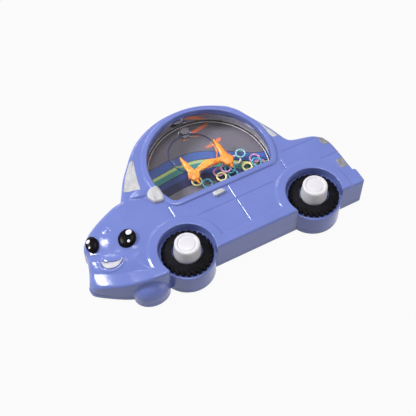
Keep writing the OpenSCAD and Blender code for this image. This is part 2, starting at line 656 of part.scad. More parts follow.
module peg_frame() {
    place() color([0.95, 0.6, 0.2]) {
        at_hubs(peg_z) {
            translate([0, 0, -hub_half_t]) linear_extrude(2 * hub_half_t) polygon(hub_star);
            cylinder(r = boss_r, h = spike_r + fit);
            cylinder(r = pin_r, h = tank_top - peg_z - 0.1);
        }
        translate([peg_at[0], peg_at[1], peg_z]) rotate([0, 0, peg_turn]) {
            for (s = [-1, 1]) translate([s * peg_span / 2, 0, 0]) rotate([0, 0, -s * spike_lean]) spike();
            // middle line of the bar as shares of the span, with the bar's half width as third number
            bar = curve([for (q = bar_line) [q[0] * peg_span, q[1], q[2]]], 3);
            translate([0, 0, -bar_half_t]) linear_extrude(2 * bar_half_t) polygon(concat(
                [for (q = bar) [q[0], q[1] + q[2]]],
                [for (k = [len(bar) - 1:-1:0]) [bar[k][0], bar[k][1] - bar[k][2]]]));
        }
    }
}

// A ring lies flat in its layer
ring_layer = 2 * ring_wire + 0.1;
ring_colours = [[0.93, 0.9, 0.6], [0.2, 0.62, 0.75], [0.9, 0.68, 0.8], [0.95, 0.95, 0.95],
    [0.6, 0.85, 0.88]];
module ring(r) {
    z = tank_floor + 0.05 + ring_wire + r[2] * ring_layer;
    place() color(ring_colours[r[3]]) translate([win_x + r[0], win_y + r[1], z])
        rotate_extrude() translate([ring_r - ring_wire, 0]) circle(r = ring_wire, $fn = 32);
}

module button(x) {
    place() color([0.95, 0.95, 0.96]) translate([x, 0, 0]) difference() {
        rotate_extrude() polygon(concat([[0, flange_z], [bellows_r, flange_z],
            [bellows_r, flange_z + flange_t], [button_r, flange_z + flange_t],
            [button_r, wheel_z + tyre_hub_h]],
            [for (a = [0:15:90]) [button_top_r - 1 + cos(a), button_z - 1 + sin(a)]],
            [[button_top_r - 1.6, button_z - 0.2], [0, button_z - 0.45]]));
        translate([0, 0, flange_z - 1]) cylinder(r = button_top_r - 1.4, h = button_z - flange_z - 1);
    }
}
module front_button() button(front_x);
module rear_button() button(rear_x);

// Toothed tyre, sloping up to its hub
tooth_lead = 0.72;
module tyre(x) {
    pitch = 360 / tooth_n;
    root = tyre_r - tooth_h;
    teeth = [for (k = [0:tooth_n - 1], q = [[0, root], [tooth_lead * pitch, tyre_r],
        [(tooth_lead + 0.14) * pitch, tyre_r - 0.15]])
        [q[1] * cos(k * pitch + q[0]), q[1] * sin(k * pitch + q[0])]];
    z0 = wheel_z + eps;
    hub_in = button_r + button_gap + 0.2;
    hub_out = button_r + button_gap + guide_wall + fit;
    place() color([0.08, 0.08, 0.09]) translate([x, 0, z0]) difference() {
        intersection() {
            linear_extrude(tyre_hub_h + 1) polygon(teeth);
            rotate_extrude() polygon([[0, 0], [tyre_r - 0.5, 0], [tyre_r + 0.1, 0.5],
                [tyre_r + 0.1, tyre_edge_h - 0.5], [root - 0.1, tyre_edge_h + 0.1],
                [root - 1.2, tyre_edge_h + 0.35], [hub_out, tyre_hub_h - 0.3],
                [hub_in + 0.4, tyre_hub_h - eps], [0, tyre_hub_h - eps]]);
        }
        translate([0, 0, -1]) cylinder(r = hub_in, h = 10);
        translate([0, 0, -1]) cylinder(r = hub_out, h = guide_z - wheel_z + 1 + 0.1);
    }
}
module front_tyre() tyre(front_x);
module rear_tyre() tyre(rear_x);

// Rubber bellows between the pump base and the button's flange
bellows_folds = 2;
module bellows(x) {
    h = (flange_z - pump_z) / (2 * bellows_folds);
    zig = [for (k = [0:2 * bellows_folds]) [k % 2 == 0 ? bellows_r - 2.2 : bellows_r, pump_z + k * h]];
    place() color([0.2, 0.2, 0.22]) translate([x, 0, 0]) rotate_extrude()
        polygon(concat([for (q = zig) q],
            [for (k = [2 * bellows_folds:-1:0]) [zig[k][0] - bellows_wall, zig[k][1]]]));
}
module front_bellows() bellows(front_x);
module rear_bellows() bellows(rear_x);

nipple_len = 4;
duct_r = 0.5;
duct_z = pump_z - 0.8;
duct_in = 3;
riser = bellows_r + hose_r + 2 * fit;
hose_from = riser + hose_r + fit;
// A round base with a boss for the hose. A duct leads from inside the bellows to the nipple.
module pump_base(x) {
    place() color([0.85, 0.86, 0.9]) translate([x, 0, 0]) rotate([0, 0, hose_turn(x)]) difference() {
        union() {
            translate([0, 0, floor_t]) cylinder(r = pump_r, h = pump_base_h);
            translate([riser, 0, floor_t]) cylinder(r = hose_r, h = hose_z - floor_t + hose_r);
            translate([riser, 0, hose_z]) rotate([0, 90, 0])
                cylinder(r = inlet_r, h = hose_from + nipple_len - riser);
        }
        translate([0, 0, floor_t - 1]) difference() {
            cylinder(r = locate_out + fit, h = locate_h + 1 + fit);
            translate([0, 0, -1]) cylinder(r = locate_in - fit, h = locate_h + 4);
        }
        translate([duct_in, 0, duct_z]) cylinder(r = duct_r, h = 3);
        translate([duct_in, 0, duct_z]) rotate([0, 90, 0]) cylinder(r = duct_r, h = riser - duct_in);
        translate([riser, 0, duct_z]) cylinder(r = duct_r, h = hose_z - duct_z);
        translate([riser, 0, hose_z]) rotate([0, 90, 0])
            cylinder(r = duct_r, h = hose_from + nipple_len + 1 - riser);
    }
}
module front_pump_base() pump_base(front_x);
module rear_pump_base() pump_base(rear_x);
module hose(x) {
    place() color([0.8, 0.85, 0.88, 0.6]) difference() {
        along_hose(x, hose_from, hose_len(x) - 1.6, $r = hose_r);
        along_hose(x, hose_from - 1, hose_len(x), $r = inlet_r + 0.02);
    }
}
module front_hose() hose(front_x);
module rear_hose() hose(rear_x);

front_shell();
back_cover();
tank_front();
tank_back();
filler_plug();
picture_card();
peg_frame();
front_button();
rear_button();
front_tyre();
rear_tyre();
front_bellows();
rear_bellows();
front_pump_base();
rear_pump_base();
front_hose();
rear_hose();
inner_eye();
outer_eye();
screws();
for (i = [1:len(ring_at)])
    ring(ring_at[i - 1]);
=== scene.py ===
"""Looks of a handheld water game in the shape of a small car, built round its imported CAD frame.

Sizes are in millimetres of the car's own frame, as in the part's source: the origin is halfway
between the wheel centres on the back face, the nose points to -X, the roof to +Y, and +Z comes out
of the face. Meshes are scaled to metres when they are made.
"""

import json
import math

import bmesh
import bpy
import numpy as np
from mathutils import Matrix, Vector

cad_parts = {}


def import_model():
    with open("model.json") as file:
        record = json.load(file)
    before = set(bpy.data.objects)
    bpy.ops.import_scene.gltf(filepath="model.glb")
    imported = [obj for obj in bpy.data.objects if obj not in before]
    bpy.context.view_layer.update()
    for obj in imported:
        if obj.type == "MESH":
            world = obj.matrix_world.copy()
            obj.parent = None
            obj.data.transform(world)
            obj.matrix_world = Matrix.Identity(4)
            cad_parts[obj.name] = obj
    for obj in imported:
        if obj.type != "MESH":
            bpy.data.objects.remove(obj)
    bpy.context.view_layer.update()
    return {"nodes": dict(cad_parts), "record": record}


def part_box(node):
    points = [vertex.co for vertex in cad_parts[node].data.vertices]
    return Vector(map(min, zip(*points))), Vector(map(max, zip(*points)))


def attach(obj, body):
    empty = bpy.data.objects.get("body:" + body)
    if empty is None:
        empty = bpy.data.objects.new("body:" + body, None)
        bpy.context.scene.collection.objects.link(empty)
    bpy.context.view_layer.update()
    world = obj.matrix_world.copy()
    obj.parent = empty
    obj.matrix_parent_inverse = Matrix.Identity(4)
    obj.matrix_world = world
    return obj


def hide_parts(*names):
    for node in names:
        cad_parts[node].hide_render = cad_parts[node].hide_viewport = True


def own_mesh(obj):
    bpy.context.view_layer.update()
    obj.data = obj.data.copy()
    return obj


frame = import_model()
MM = 0.001


def box_centre(node):
    low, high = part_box(node)
    return (low + high) / 2


front_hub = box_centre("front_button")
rear_hub = box_centre("rear_button")
origin = Vector(((front_hub.x + rear_hub.x) / 2, (front_hub.y + rear_hub.y) / 2, 0))
wheelbase = (rear_hub.x - front_hub.x) / MM
front_x = -wheelbase / 2
rear_x = wheelbase / 2
SIDES = (("front", front_x), ("rear", rear_x))


def cos_sin(degrees):
    a = math.radians(degrees)
    return math.cos(a), math.sin(a)


def in_scene(name, data):
    obj = bpy.data.objects.new(name, data)
    bpy.context.scene.collection.objects.link(obj)
    return obj


# Camera: its direction, distance and aim point were fitted to the photograph
CAMERA_AZIMUTH = -28.249
CAMERA_ELEVATION = 55.939
CAMERA_DISTANCE = 459.24
CAMERA_AIM = (-13.027, 20.349, 10.0)
CAMERA_LENS = 80.64


def place_camera():
    c, s = cos_sin(CAMERA_AZIMUTH)
    level, up = cos_sin(CAMERA_ELEVATION)
    back = Vector((s * level, -c * level, up))
    data = bpy.data.cameras.new("camera")
    data.lens = CAMERA_LENS
    data.sensor_width = 36
    data.clip_start = 0.01
    camera = in_scene("camera", data)
    camera.location = origin + (Vector(CAMERA_AIM) + back * CAMERA_DISTANCE) * MM
    camera.rotation_euler = back.to_track_quat("Z", "Y").to_euler()
    bpy.context.scene.camera = camera


place_camera()


# Sizes that the shapes share with the part's source
BODY_T = 17.2
WALL = 1.8
SPLIT_Z = 2.5
TAIL_X = rear_x + 26
ROOF_Y = 77.8
ROOF_R = 43.8
SILL_Y = 6.2
SILL_X = 20.5
RELIEF = 0.7
WHEEL_R = 13.8
WHEEL_Z = 13.0
ARCH_R = 13.95
WELL_R = 15.35
WELL_FLOOR = 1.6
BORE_R = 7.05
GUIDE_R = 8.35
FENDER_R = 19.5
FENDER_EDGE = 1.8
POST_R = 2.9
PILOT_R = 1.02
PILOT_H = 7
WIN_X = -0.7
WIN_R = 31.2
WIN_Y = 42.3
WIN_LOW = 26.7
WIN_CORNER = 3.2
BEZEL_W = 3.2
BEZEL_H = 1.0
TANK_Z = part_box("tank_front")[1].z / MM
TANK_WALL = 1.2
TANK_LAP = 1.5
TANK_FLOOR = 4.0
HINGES = ((front_x - 20, 0.20), (front_x - 27, 0.10), (front_x - 37, 0.12), (front_x - 43, 0.30))
BULGE = (front_x - 21.2, -4.2)
BULGE_RADII = (9.2, 7.4, 7.6)


# Plane curves
def span(a, b, c, d, t):
    return 0.5 * (2 * b + (c - a) * t + (2 * a - 5 * b + 4 * c - d) * t * t
                  + (3 * b - a - 3 * c + d) * t * t * t)


def curve(points, n):
    """A smooth open curve through points of any size, without its last point."""
    p = [np.array(q, float) for q in points]
    last = len(p) - 1
    return [span(p[max(0, i - 1)], p[i], p[i + 1], p[min(last, i + 2)], k / n)
            for i in range(last) for k in range(n)]


def closed_curve(points, n):
    return curve(points[-1:] + points + points[:2], n)[n:-n]


def arc(x, y, r, a0, a1, n):
    turns = [cos_sin(a0 + (a1 - a0) * k / n) for k in range(n + 1)]
    return [(x + r * c, y + r * s) for c, s in turns]


def shift(points, dx):
    return [(q[0] + dx,) + tuple(q[1:]) for q in points]


# Outline of the car. The third number of a point is the radius of the shoulder there.
bumper_line = shift([(-46.8, 10.7, 2.6), (-46.4, 7.6, 2.0), (-44.1, 5.0, 1.4), (-39, 1.3, 1.2),
                     (-34, -1.8, 1.2), (-29, -4.2, 1.2), (-24, -6.1, 1.2), (-19, -7.3, 1.2),
                     (-14, -7.6, 1.2), (-12, -SILL_Y, 1.2)], front_x)
tail_line = shift([(-1.6, 3.0, 1.0), (-1.5, 8, 1.8), (-1.4, 15, 2.2), (-1.8, 22.5, 2.5),
                   (-3.3, 27.1, 3.0), (-6.3, 30.4, 3.2), (-9.8, 32.0, 3.2), (-15.4, 33.2, 3.0),
                   (-19, 34.2, 2.6), (-20.8, 36.2, 2.4), (-22.0, 39.5, 2.4), (-24.1, 45.6, 2.4),
                   (-26.9, 51.8, 2.4), (-30.3, 58.8, 2.2), (-32.8, 64.0, 2.0)], TAIL_X)
roof_line = [(x, y, 1.9) for x, y in arc(-2.5, ROOF_Y - ROOF_R, ROOF_R, 52, 130, 60)]
screen_line = [(-35.2, 62.9, 2.0), (-39.2, 58.0, 2.2), (-44.2, 51.7, 2.4), (-48.2, 44.9, 2.4),
               (-50.9, 40.3, 2.6)]
hood_line = shift([(-16, 39.9, 2.6), (-20, 39.5, 3.0), (-24.5, 38.5, 3.8), (-29.3, 36.9, 3.8),
                   (-34, 34.9, 3.6), (-37.8, 32.7, 3.4), (-40.7, 29.9, 3.0), (-42.1, 26.9, 2.8),
                   (-42.0, 24.2, 2.4), (-43, 20, 2.4), (-44.5, 15.6, 2.6), (-45.8, 12.8, 2.8),
                   (-46.8, 10.7, 2.6)], front_x)
outline = (curve(bumper_line, 5)
           + [(front_x - 12, -SILL_Y, 1.2), (rear_x + 10, -SILL_Y, 1.2)]
           + [(x, y, 1.1) for x, y in arc(TAIL_X - 1.5, -SILL_Y + 1.5, 1.5, -80, 0, 5)]
           + [(TAIL_X, 1.8, 1.1), (TAIL_X - 0.6, 2.8, 1.0)]
           + curve(tail_line + [roof_line[0]], 5)
           + roof_line + curve([roof_line[-1]] + screen_line, 5)[1:]
           + curve(hood_line, 5))


def window_loop(d):
    """The window's outline, moved out by d."""
    r, c, low = WIN_R + d, WIN_CORNER + d, WIN_LOW - d
    dy = WIN_Y - low - c
    dx = math.sqrt((r - c) ** 2 - dy * dy)
    a = math.degrees(math.atan2(dy, dx))
    return (arc(WIN_X, WIN_Y, r, -a, 180 + a, 144)[:-1]
            + arc(WIN_X - dx, low + c, c, 180 + a, 270, 10)
            + arc(WIN_X + dx, low + c, c, 270, 360 - a, 10)[:-1])


# Distance fields: negative inside a solid
def polygon_distance(x, y, points, carried=None):
    """Signed distance to a closed polygon, positive inside, and a value carried from its points."""
    best = np.full(x.shape, 1e9, np.float32)
    value = np.zeros(x.shape, np.float32)
    inside = np.zeros(x.shape, bool)
    n = len(points)
    for i in range(n):
        ax, ay, bx, by = *points[i][:2], *points[(i + 1) % n][:2]
        ex, ey = bx - ax, by - ay
        square = ex * ex + ey * ey
        if square < 1e-9:
            continue
        px, py = x - ax, y - ay
        t = np.clip((px * ex + py * ey) / square, 0, 1)
        dist = (px - t * ex) ** 2 + (py - t * ey) ** 2
        nearer = dist < best
        best[nearer] = dist[nearer]
        if carried is not None:
            value[nearer] = carried[i] + (carried[(i + 1) % n] - carried[i]) * t[nearer]
        if ay != by:
            inside ^= ((ay > y) != (by > y)) & (px < ex * py / ey)
    dist = np.sqrt(best)
    return np.where(inside, dist, -dist), value


def round_and(a, b, r):
    """The part inside both a and b, with an edge of radius r."""
    u, v = np.maximum(r + a, 0), np.maximum(r + b, 0)
    return np.minimum(-r, np.maximum(a, b)) + np.sqrt(u * u + v * v)


def round_or(a, b, r):
    """a and b together, with a fillet of radius r."""
    return -round_and(-a, -b, r)


def soft_max(a, b, k):
    return 0.5 * (a + b + np.sqrt((a - b) ** 2 + k * k))


def ramp(t):
    t = np.clip(t, 0, 1)
    return t * t * (3 - 2 * t)


def quarter(s, r):
    """Rises from 0 at s = 0 to 1 at s = r, as a quarter round."""
    return np.sqrt(np.clip(1 - (1 - np.clip(s / r, 0, 1)) ** 2, 0, 1))


def line_distance(x, y, points):
    """Distance to an open line, and the share of its length at the nearest point."""
    best = np.full(x.shape, 1e9)
    share = np.zeros(x.shape)
    n = len(points) - 1
    for i in range(n):
        ax, ay, bx, by = *points[i][:2], *points[i + 1][:2]
        ex, ey = bx - ax, by - ay
        t = np.clip(((x - ax) * ex + (y - ay) * ey) / (ex * ex + ey * ey), 0, 1)
        d = np.hypot(x - ax - t * ex, y - ay - t * ey)
        nearer = d < best
        best = np.where(nearer, d, best)
        share = np.where(nearer, (i + t) / n, share)
    return best, share


def dome(x, y, cx, cy, rx, ry, turn):
    """1 in the middle of an ellipse and 0 at its edge and beyond, smooth all over."""
    c, s = cos_sin(turn)
    u = ((x - cx) * c + (y - cy) * s) / rx
    v = (-(x - cx) * s + (y - cy) * c) / ry
    return np.clip(1 - u * u - v * v, 0, 1) ** 2


# Relief of the face
VALLEY = shift([(-51.0, 24.0), (-46.5, 23.0), (-43.4, 22.4), (-39.9, 21.8), (-38.0, 20.6), (-34.1, 18.6),
                (-30.4, 16.2), (-26.7, 13.8), (-23.0, 11.5), (-20.7, 10.3), (-18.9, 10.1)], front_x)
BAND_TOP = shift([(-51.0, 20.0), (-45.5, 15.6), (-43.7, 13.9), (-42.6, 12.2), (-37.7, 8.0), (-33.3, 5.2),
                  (-27.5, 2.4), (-23.7, 0.5), (-19.7, -1.2), (-15.7, -1.7), (-13.0, -1.7)], front_x)
MUZZLE = curve(VALLEY, 4) + curve(BAND_TOP[-3::-1], 4)
BAND = curve(BAND_TOP, 4) + [(front_x - 13, -14), (front_x - 51, -14)]
HOOD_CREASE = curve([(-67.0, 27.6), (-65.3, 27.0), (-63.8, 26.6), (-61.5, 26.2), (-58.6, 26.4),
                     (-55.1, 27.5), (-51.5, 29.1), (-47.0, 31.2), (-43.0, 33.4)], 3)
MOUTH_AT = np.array((front_x - 33.2, 12.2))
LIP = [MOUTH_AT + q for q in curve([(-4.9, 3.6), (-5.2, 1.2), (-4.3, -1.1), (-2.6, -2.7), (0.1, -3.7),
                                    (2.8, -3.3), (5.6, -1.6)], 5)]
MOUTH = LIP + [MOUTH_AT + q for q in curve([(5.6, -1.6), (2.2, -0.7), (-0.8, 0.7), (-3.2, 2.3),
                                            (-4.9, 3.6)], 5)]
INNER_EYE = (front_x - 22.3, 18.9)
OUTER_EYE = (front_x - 37.6, 26.0)
SEAM_W = 0.55
SEAM_DEPTH = 0.34
LEVEL_SEAM_DEPTH = 0.32
MOUTH_RIM_W = 1.0
MOUTH_RIM_H = 0.32
MOUTH_DEPTH = 0.7
MOUTH_INSET = 0.45
NOSE_X = -50
NOSE_L = 26
NOSE_TILT = 0.05
NOSE_TILT_Y = 13.5
MUZZLE_W = 5.9
MUZZLE_H = 0.83
VALLEY_W = 2.7
VALLEY_H = 0.37
CREASE_W = 0.9
CREASE_DEPTH = 0.07
# Soft swells of the face: centre, radii, turn and height
SWELLS = ((-63.5, 28.6, 2.6, 1.75, -25, 0.45), (-63.3, 23.0, 6.5, 8.0, 0, 0.5),
          (-60.0, 14.8, 6.0, 5.8, 0, 0.42), (-72.9, 13.9, 3.0, 3.8, 29, -0.43))
# The cowl swells above a line, whose x and y are given
COWL = (-42.6, 36.8, 8.0, 5.0, 25)
COWL_H = 1.15
COWL_LINE = ((-51.5, -48.5, -45.6, -42.0, -38.5), (40.4, 39.3, 37.9, 36.6, 35.8))
SEAMS = [[(-0.6, 15.6), (-0.6, WIN_LOW - BEZEL_W)], [(-0.6, -0.3), (-0.6, 13.8)],
         [(front_x + 3, FENDER_R - 0.6), (front_x + 3, WIN_LOW - 1)],
         [(rear_x - 4.7, FENDER_R - 1), (rear_x - 4.7, WIN_LOW - 2)],
         [(-21.5, 14.6), (-1.3, 14.6)], [(0.1, 14.6), (21, 14.6)],
         [(TAIL_X - 27, 28.6), (TAIL_X - 8, 28.3)], [(TAIL_X - 12, 15.6), (TAIL_X + 1, 15.4)]]


def face_fall(x):
    fall = 0
    for hinge, slope in HINGES:
        fall = fall + slope * (soft_max(hinge - x, 0, 2.4) - 0.3)
    return fall


def base_height(x):
    return BODY_T - np.maximum(face_fall(x), 0)


def wheel_distance(x, y):
    return np.hypot(np.abs(x) - wheelbase / 2, y)


def fender_distance(x, y):
    return FENDER_R - np.hypot(np.abs(x) - wheelbase / 2, np.maximum(y, 0))


def face_height(x, y, window):
    height = base_height(x)
    # the muzzle swells from the valley under the eyes down to the flat band of the bumper
    muzzle, _ = polygon_distance(x, y, MUZZLE)
    valley, _ = line_distance(x, y, VALLEY)
    nose = ramp((NOSE_X - x) / NOSE_L)
    height = height - nose * NOSE_TILT * soft_max(NOSE_TILT_Y - y, 0, 3)
    height = height + MUZZLE_H * np.sin(0.5 * math.pi * np.clip(muzzle / MUZZLE_W, 0, 1))
    height = height - ramp((-52 - x) / 8) * VALLEY_H * np.exp(-(valley / VALLEY_W) ** 2)
    crease, share = line_distance(x, y, HOOD_CREASE)
    groove = CREASE_DEPTH * np.exp(-(crease / CREASE_W) ** 2)
    height = height - groove * ramp(4 * (1 - share)) * ramp(6 * share)
    for swell in SWELLS:
        height = height + swell[5] * dome(x, y, *swell[:5])
    cowl_y = np.interp(x, *COWL_LINE)
    height = height + COWL_H * dome(x, y, *COWL) * ramp((y - cowl_y + 0.3) / 1.4)
    # fenders, sill and bezel
    sill = np.minimum(-0.3 - y, SILL_X - np.abs(x))
    band, _ = polygon_distance(x, y, BAND)
    raised = np.maximum(ramp(fender_distance(x, y) / FENDER_EDGE), quarter(sill, 1.2))
    raised = RELIEF * np.maximum(raised, quarter(band, 1.0) * ramp((x + 66) / 10))
    height = height + np.maximum(raised, BEZEL_H * quarter(BEZEL_W - window, 1.5))
    return height


def near_line(x, y, points, reach):
    """Where x, y lie in the box round a line's points, or within reach of it."""
    low, high = np.min(points, axis=0)[:2] - reach, np.max(points, axis=0)[:2] + reach
    return (x > low[0]) & (x < high[0]) & (y > low[1]) & (y < high[1])


def fine_relief(x, y):
    """The rim of the mouth and the seams, which are too fine for the map of the face."""
    x, y = np.broadcast_arrays(x, y)
    relief = np.zeros(x.shape)
    near = near_line(x, y, MOUTH, 2 * MOUTH_RIM_W)
    mouth, _ = polygon_distance(x[near], y[near], MOUTH)
    lip, _ = line_distance(x[near], y[near], LIP)
    rim = ramp(1 - np.abs(lip / MOUTH_RIM_W - 1)) * ramp(-mouth / 0.6)
    relief[near] = MOUTH_RIM_H * rim - MOUTH_DEPTH * ramp(mouth / MOUTH_INSET)
    for seam in SEAMS:
        near = near_line(x, y, seam, SEAM_W)
        d, _ = line_distance(x[near], y[near], seam)
        level = abs(seam[0][1] - seam[1][1]) < abs(seam[0][0] - seam[1][0])
        depth = LEVEL_SEAM_DEPTH if level else SEAM_DEPTH
        relief[near] -= depth * np.clip(1 - soft_max(d, 0, 0.1) / SEAM_W, 0, 1)
    return relief


MAP_STEP = 0.3
MAP_LOW = (front_x - 49.5, -17.0)
MAP_HIGH = (TAIL_X + 2.5, ROOF_Y + 2.5)
SCREWS = [(front_x - 32, 19), (-42.5, 35), (0, 7), (46, 26.5), (TAIL_X - 6.2, -0.6)]


def spline_weights(t):
    return (0.5 * (-t + 2 * t * t - t ** 3), 0.5 * (2 - 5 * t * t + 3 * t ** 3),
            0.5 * (t + 4 * t * t - 3 * t ** 3), 0.5 * (t ** 3 - t * t))


def look_up(values, x, y):
    """A value of one of the face's maps at x, y, from a bicubic spline."""
    gx, gy = (x - MAP_LOW[0]) / MAP_STEP, (y - MAP_LOW[1]) / MAP_STEP
    ix = np.clip(np.floor(gx).astype(int), 1, values.shape[0] - 3)
    iy = np.clip(np.floor(gy).astype(int), 1, values.shape[1] - 3)
    wx, wy = spline_weights(gx - ix), spline_weights(gy - iy)
    return sum(wx[i] * sum(wy[j] * values[ix + i - 1, iy + j - 1] for j in range(4)) for i in range(4))


def make_maps():
    xs = np.arange(MAP_LOW[0], MAP_HIGH[0], MAP_STEP)
    ys = np.arange(MAP_LOW[1], MAP_HIGH[1], MAP_STEP)
    x, y = np.meshgrid(xs, ys, indexing="ij")
    edge, shoulder = polygon_distance(x, y, outline, [q[2] for q in outline])
    window = -polygon_distance(x, y, window_loop(0))[0]
    height = face_height(x, y, window)
    return [v.astype(np.float32) for v in (edge, shoulder, window, height)]


edge_map, shoulder_map, window_map, height_map = make_maps()


def shell_field(x, y, z):
    edge, shoulder = look_up(edge_map, x, y), look_up(shoulder_map, x, y)
    window, height = look_up(window_map, x, y), look_up(height_map, x, y) + fine_relief(x, y)
    wheel = wheel_distance(x, y)
    outside = round_and(-edge, z - height, np.clip(shoulder, 0.9, 4))
    # the wells are open upwards, with a rolled rim
    outside = round_and(outside, ARCH_R - wheel, 0.45)
    drum = round_and(wheel - WHEEL_R - 0.6 * ramp((edge + 0.2) / 0.8), z - WHEEL_Z, 0.5)
    bx, by = (x - BULGE[0]) / BULGE_RADII[0], (y - BULGE[1]) / BULGE_RADII[1]
    bz = np.maximum(z - WHEEL_Z + BULGE_RADII[2], 0) / BULGE_RADII[2]
    bulge = (np.sqrt(bx * bx + by * by + bz * bz) - 1) * BULGE_RADII[1]
    outside = round_or(outside, bulge, 0.6)
    outside = np.minimum(outside, drum)
    outside = round_and(outside, -window, 0.6)
    outside = round_and(outside, SPLIT_Z - z, 0.2)
    guide = np.maximum(wheel - GUIDE_R, np.maximum(z - WHEEL_Z - 2, WHEEL_Z - 1 - z))
    outside = np.minimum(outside, guide)
    # hollow inside, with the housings, the rim under the bezel and the screw posts left
    hollow = np.maximum(WALL - edge, z - np.minimum(base_height(x), height) + WALL)
    hollow = np.minimum(hollow, np.maximum(wheel - WHEEL_R + WALL, z - WHEEL_Z + WELL_FLOOR))
    hollow = np.minimum(hollow, bulge + WALL)
    hollow = np.maximum(hollow, -np.maximum(wheel - WELL_R, WHEEL_Z - WELL_FLOOR - z))
    hollow = np.maximum(hollow, -np.maximum(window - TANK_LAP - 0.1, TANK_Z - z))
    for sx, sy in SCREWS:
        post = np.hypot(x - sx, y - sy)
        hollow = np.maximum(hollow, POST_R - post)
        hollow = np.minimum(hollow, np.maximum(post - PILOT_R, z - SPLIT_Z - PILOT_H))
    solid = np.maximum(outside, -hollow)
    solid = np.maximum(solid, BORE_R - wheel)
    return np.maximum(solid, SPLIT_Z - z)


def surface_net(field, low, high, step):
    """Vertices and quads of the surface where the field is zero."""
    axes = [np.arange(low[k], high[k] + step, step) for k in range(3)]
    g = field(axes[0][:, None, None], axes[1][None, :, None], axes[2][None, None, :])
    g = np.ascontiguousarray(np.broadcast_to(g, [len(a) for a in axes]), dtype=np.float32)
    inside = g < 0
    cells = tuple(n - 1 for n in g.shape)
    size = math.prod(cells)
    total = np.zeros((size, 3), np.float32)
    count = np.zeros(size, np.uint8)
    unit = np.eye(3, dtype=int)
    crossings = []
    # each crossed edge of the grid adds its point to the four cells round it
    for axis in range(3):
        at = np.argwhere(np.diff(inside, axis=axis))
        va, vb = g[tuple(at.T)], g[tuple((at + unit[axis]).T)]
        point = at.astype(np.float32)
        point[:, axis] += va / (va - vb)
        crossings.append((axis, at, va < 0))
        u, v = [k for k in range(3) if k != axis]
        for i, j in ((0, 0), (0, 1), (1, 0), (1, 1)):
            c = at - i * unit[u] - j * unit[v]
            ok = ((c >= 0) & (c < cells)).all(1)
            index = np.ravel_multi_index(tuple(c[ok].T), cells)
            for k in range(3):
                total[:, k] += np.bincount(index, point[ok, k], size)
            count += np.bincount(index, minlength=size).astype(np.uint8)
    used = np.flatnonzero(count)
    number = np.full(size, -1, np.int64)
    number[used] = np.arange(len(used))
    verts = total[used] / count[used, None] * step + np.array(low, np.float32)
    # and becomes a quad between their vertices
    quads = []
    for axis, at, first_in in crossings:
        u, v = (axis + 1) % 3, (axis + 2) % 3
        ok = (at[:, u] > 0) & (at[:, v] > 0) & (at[:, u] < g.shape[u] - 1) & (at[:, v] < g.shape[v] - 1)
        at, first_in = at[ok], first_in[ok]
        corners = [at - i * unit[u] - j * unit[v] for i, j in ((0, 0), (1, 0), (1, 1), (0, 1))]
        quad = np.stack([number[np.ravel_multi_index(tuple(c.T), cells)] for c in corners], 1)
        quad[~first_in] = quad[~first_in][:, ::-1]
        quads.append(quad)
    return verts, np.concatenate(quads)


def gradient(field, p, e):
    steps = np.eye(3, dtype=p.dtype) * e
    return np.stack([(field(*(p + s).T) - field(*(p - s).T)) / (2 * e) for s in steps], 1)


def settle(field, p, rounds, e, limit):
    """Moves points on to the surface where the field is zero."""
    for _ in range(rounds):
        g = gradient(field, p, e)
        move = -field(*p.T)[:, None] * g / np.maximum((g * g).sum(1), 0.05)[:, None]
        size = np.linalg.norm(move, axis=1)[:, None]
        p = p + move * np.minimum(1, limit / np.maximum(size, 1e-9))
    return p


# Mesh helpers
def to_row(p):
    return np.asarray(p, float) * MM + np.array(origin)


def new_object(name, mesh, slot, names=None, body="body"):
    """An object with the look named like the slot, or with the looks that are given, attached to its body.
    """
    obj = in_scene(name, mesh)
    for look in names or [slot]:
        mesh.materials.append(looks[look])
    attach(obj, body)
    return obj


def mesh_from(name, verts, faces):
    mesh = bpy.data.meshes.new(name)
    mesh.from_pydata([tuple(v) for v in to_row(verts)], [], [tuple(int(i) for i in f) for f in faces])
    mesh.validate()
    mesh.polygons.foreach_set("use_smooth", [True] * len(mesh.polygons))
    mesh.update()
    return mesh


def weighted_normals(obj):
    """Shades flat faces flat and rounded edges round."""
    mod = obj.modifiers.new("normals", "WEIGHTED_NORMAL")
    mod.weight = 60
    mod.keep_sharp = False


def values_of(items, name, kind=np.float32, width=1):
    """A property of all vertices, loops or polygons of a mesh as one array."""
    values = np.zeros(len(items) * width, kind)
    items.foreach_get(name, values)
    return values


def settled(mesh, field, rounds, e, limit):
    """Places of a mesh's vertices, moved on to the surface of the field."""
    p = values_of(mesh.vertices, "co", width=3).reshape(-1, 3).astype(np.float64)
    return settle(field, p, rounds, e, limit)


def refine(mesh, wanted, field, e):
    """Splits the edges of the wanted vertices, and settles all vertices on the field's surface."""
    bm = bmesh.new()
    bm.from_mesh(mesh)
    edges = [edge for edge in bm.edges
             if wanted[edge.verts[0].index] and wanted[edge.verts[1].index]]
    bmesh.ops.subdivide_edges(bm, edges=edges, cuts=2, use_grid_fill=True)
    bmesh.ops.triangulate(bm, faces=[f for f in bm.faces if len(f.verts) > 4])
    bm.to_mesh(mesh)
    bm.free()
    p = settled(mesh, field, 2, e, 2 * e)
    mesh.vertices.foreach_set("co", p.astype(np.float32).ravel())


def unit_rows(v):
    return v / np.maximum(np.linalg.norm(v, axis=1), 1e-12)[:, None]


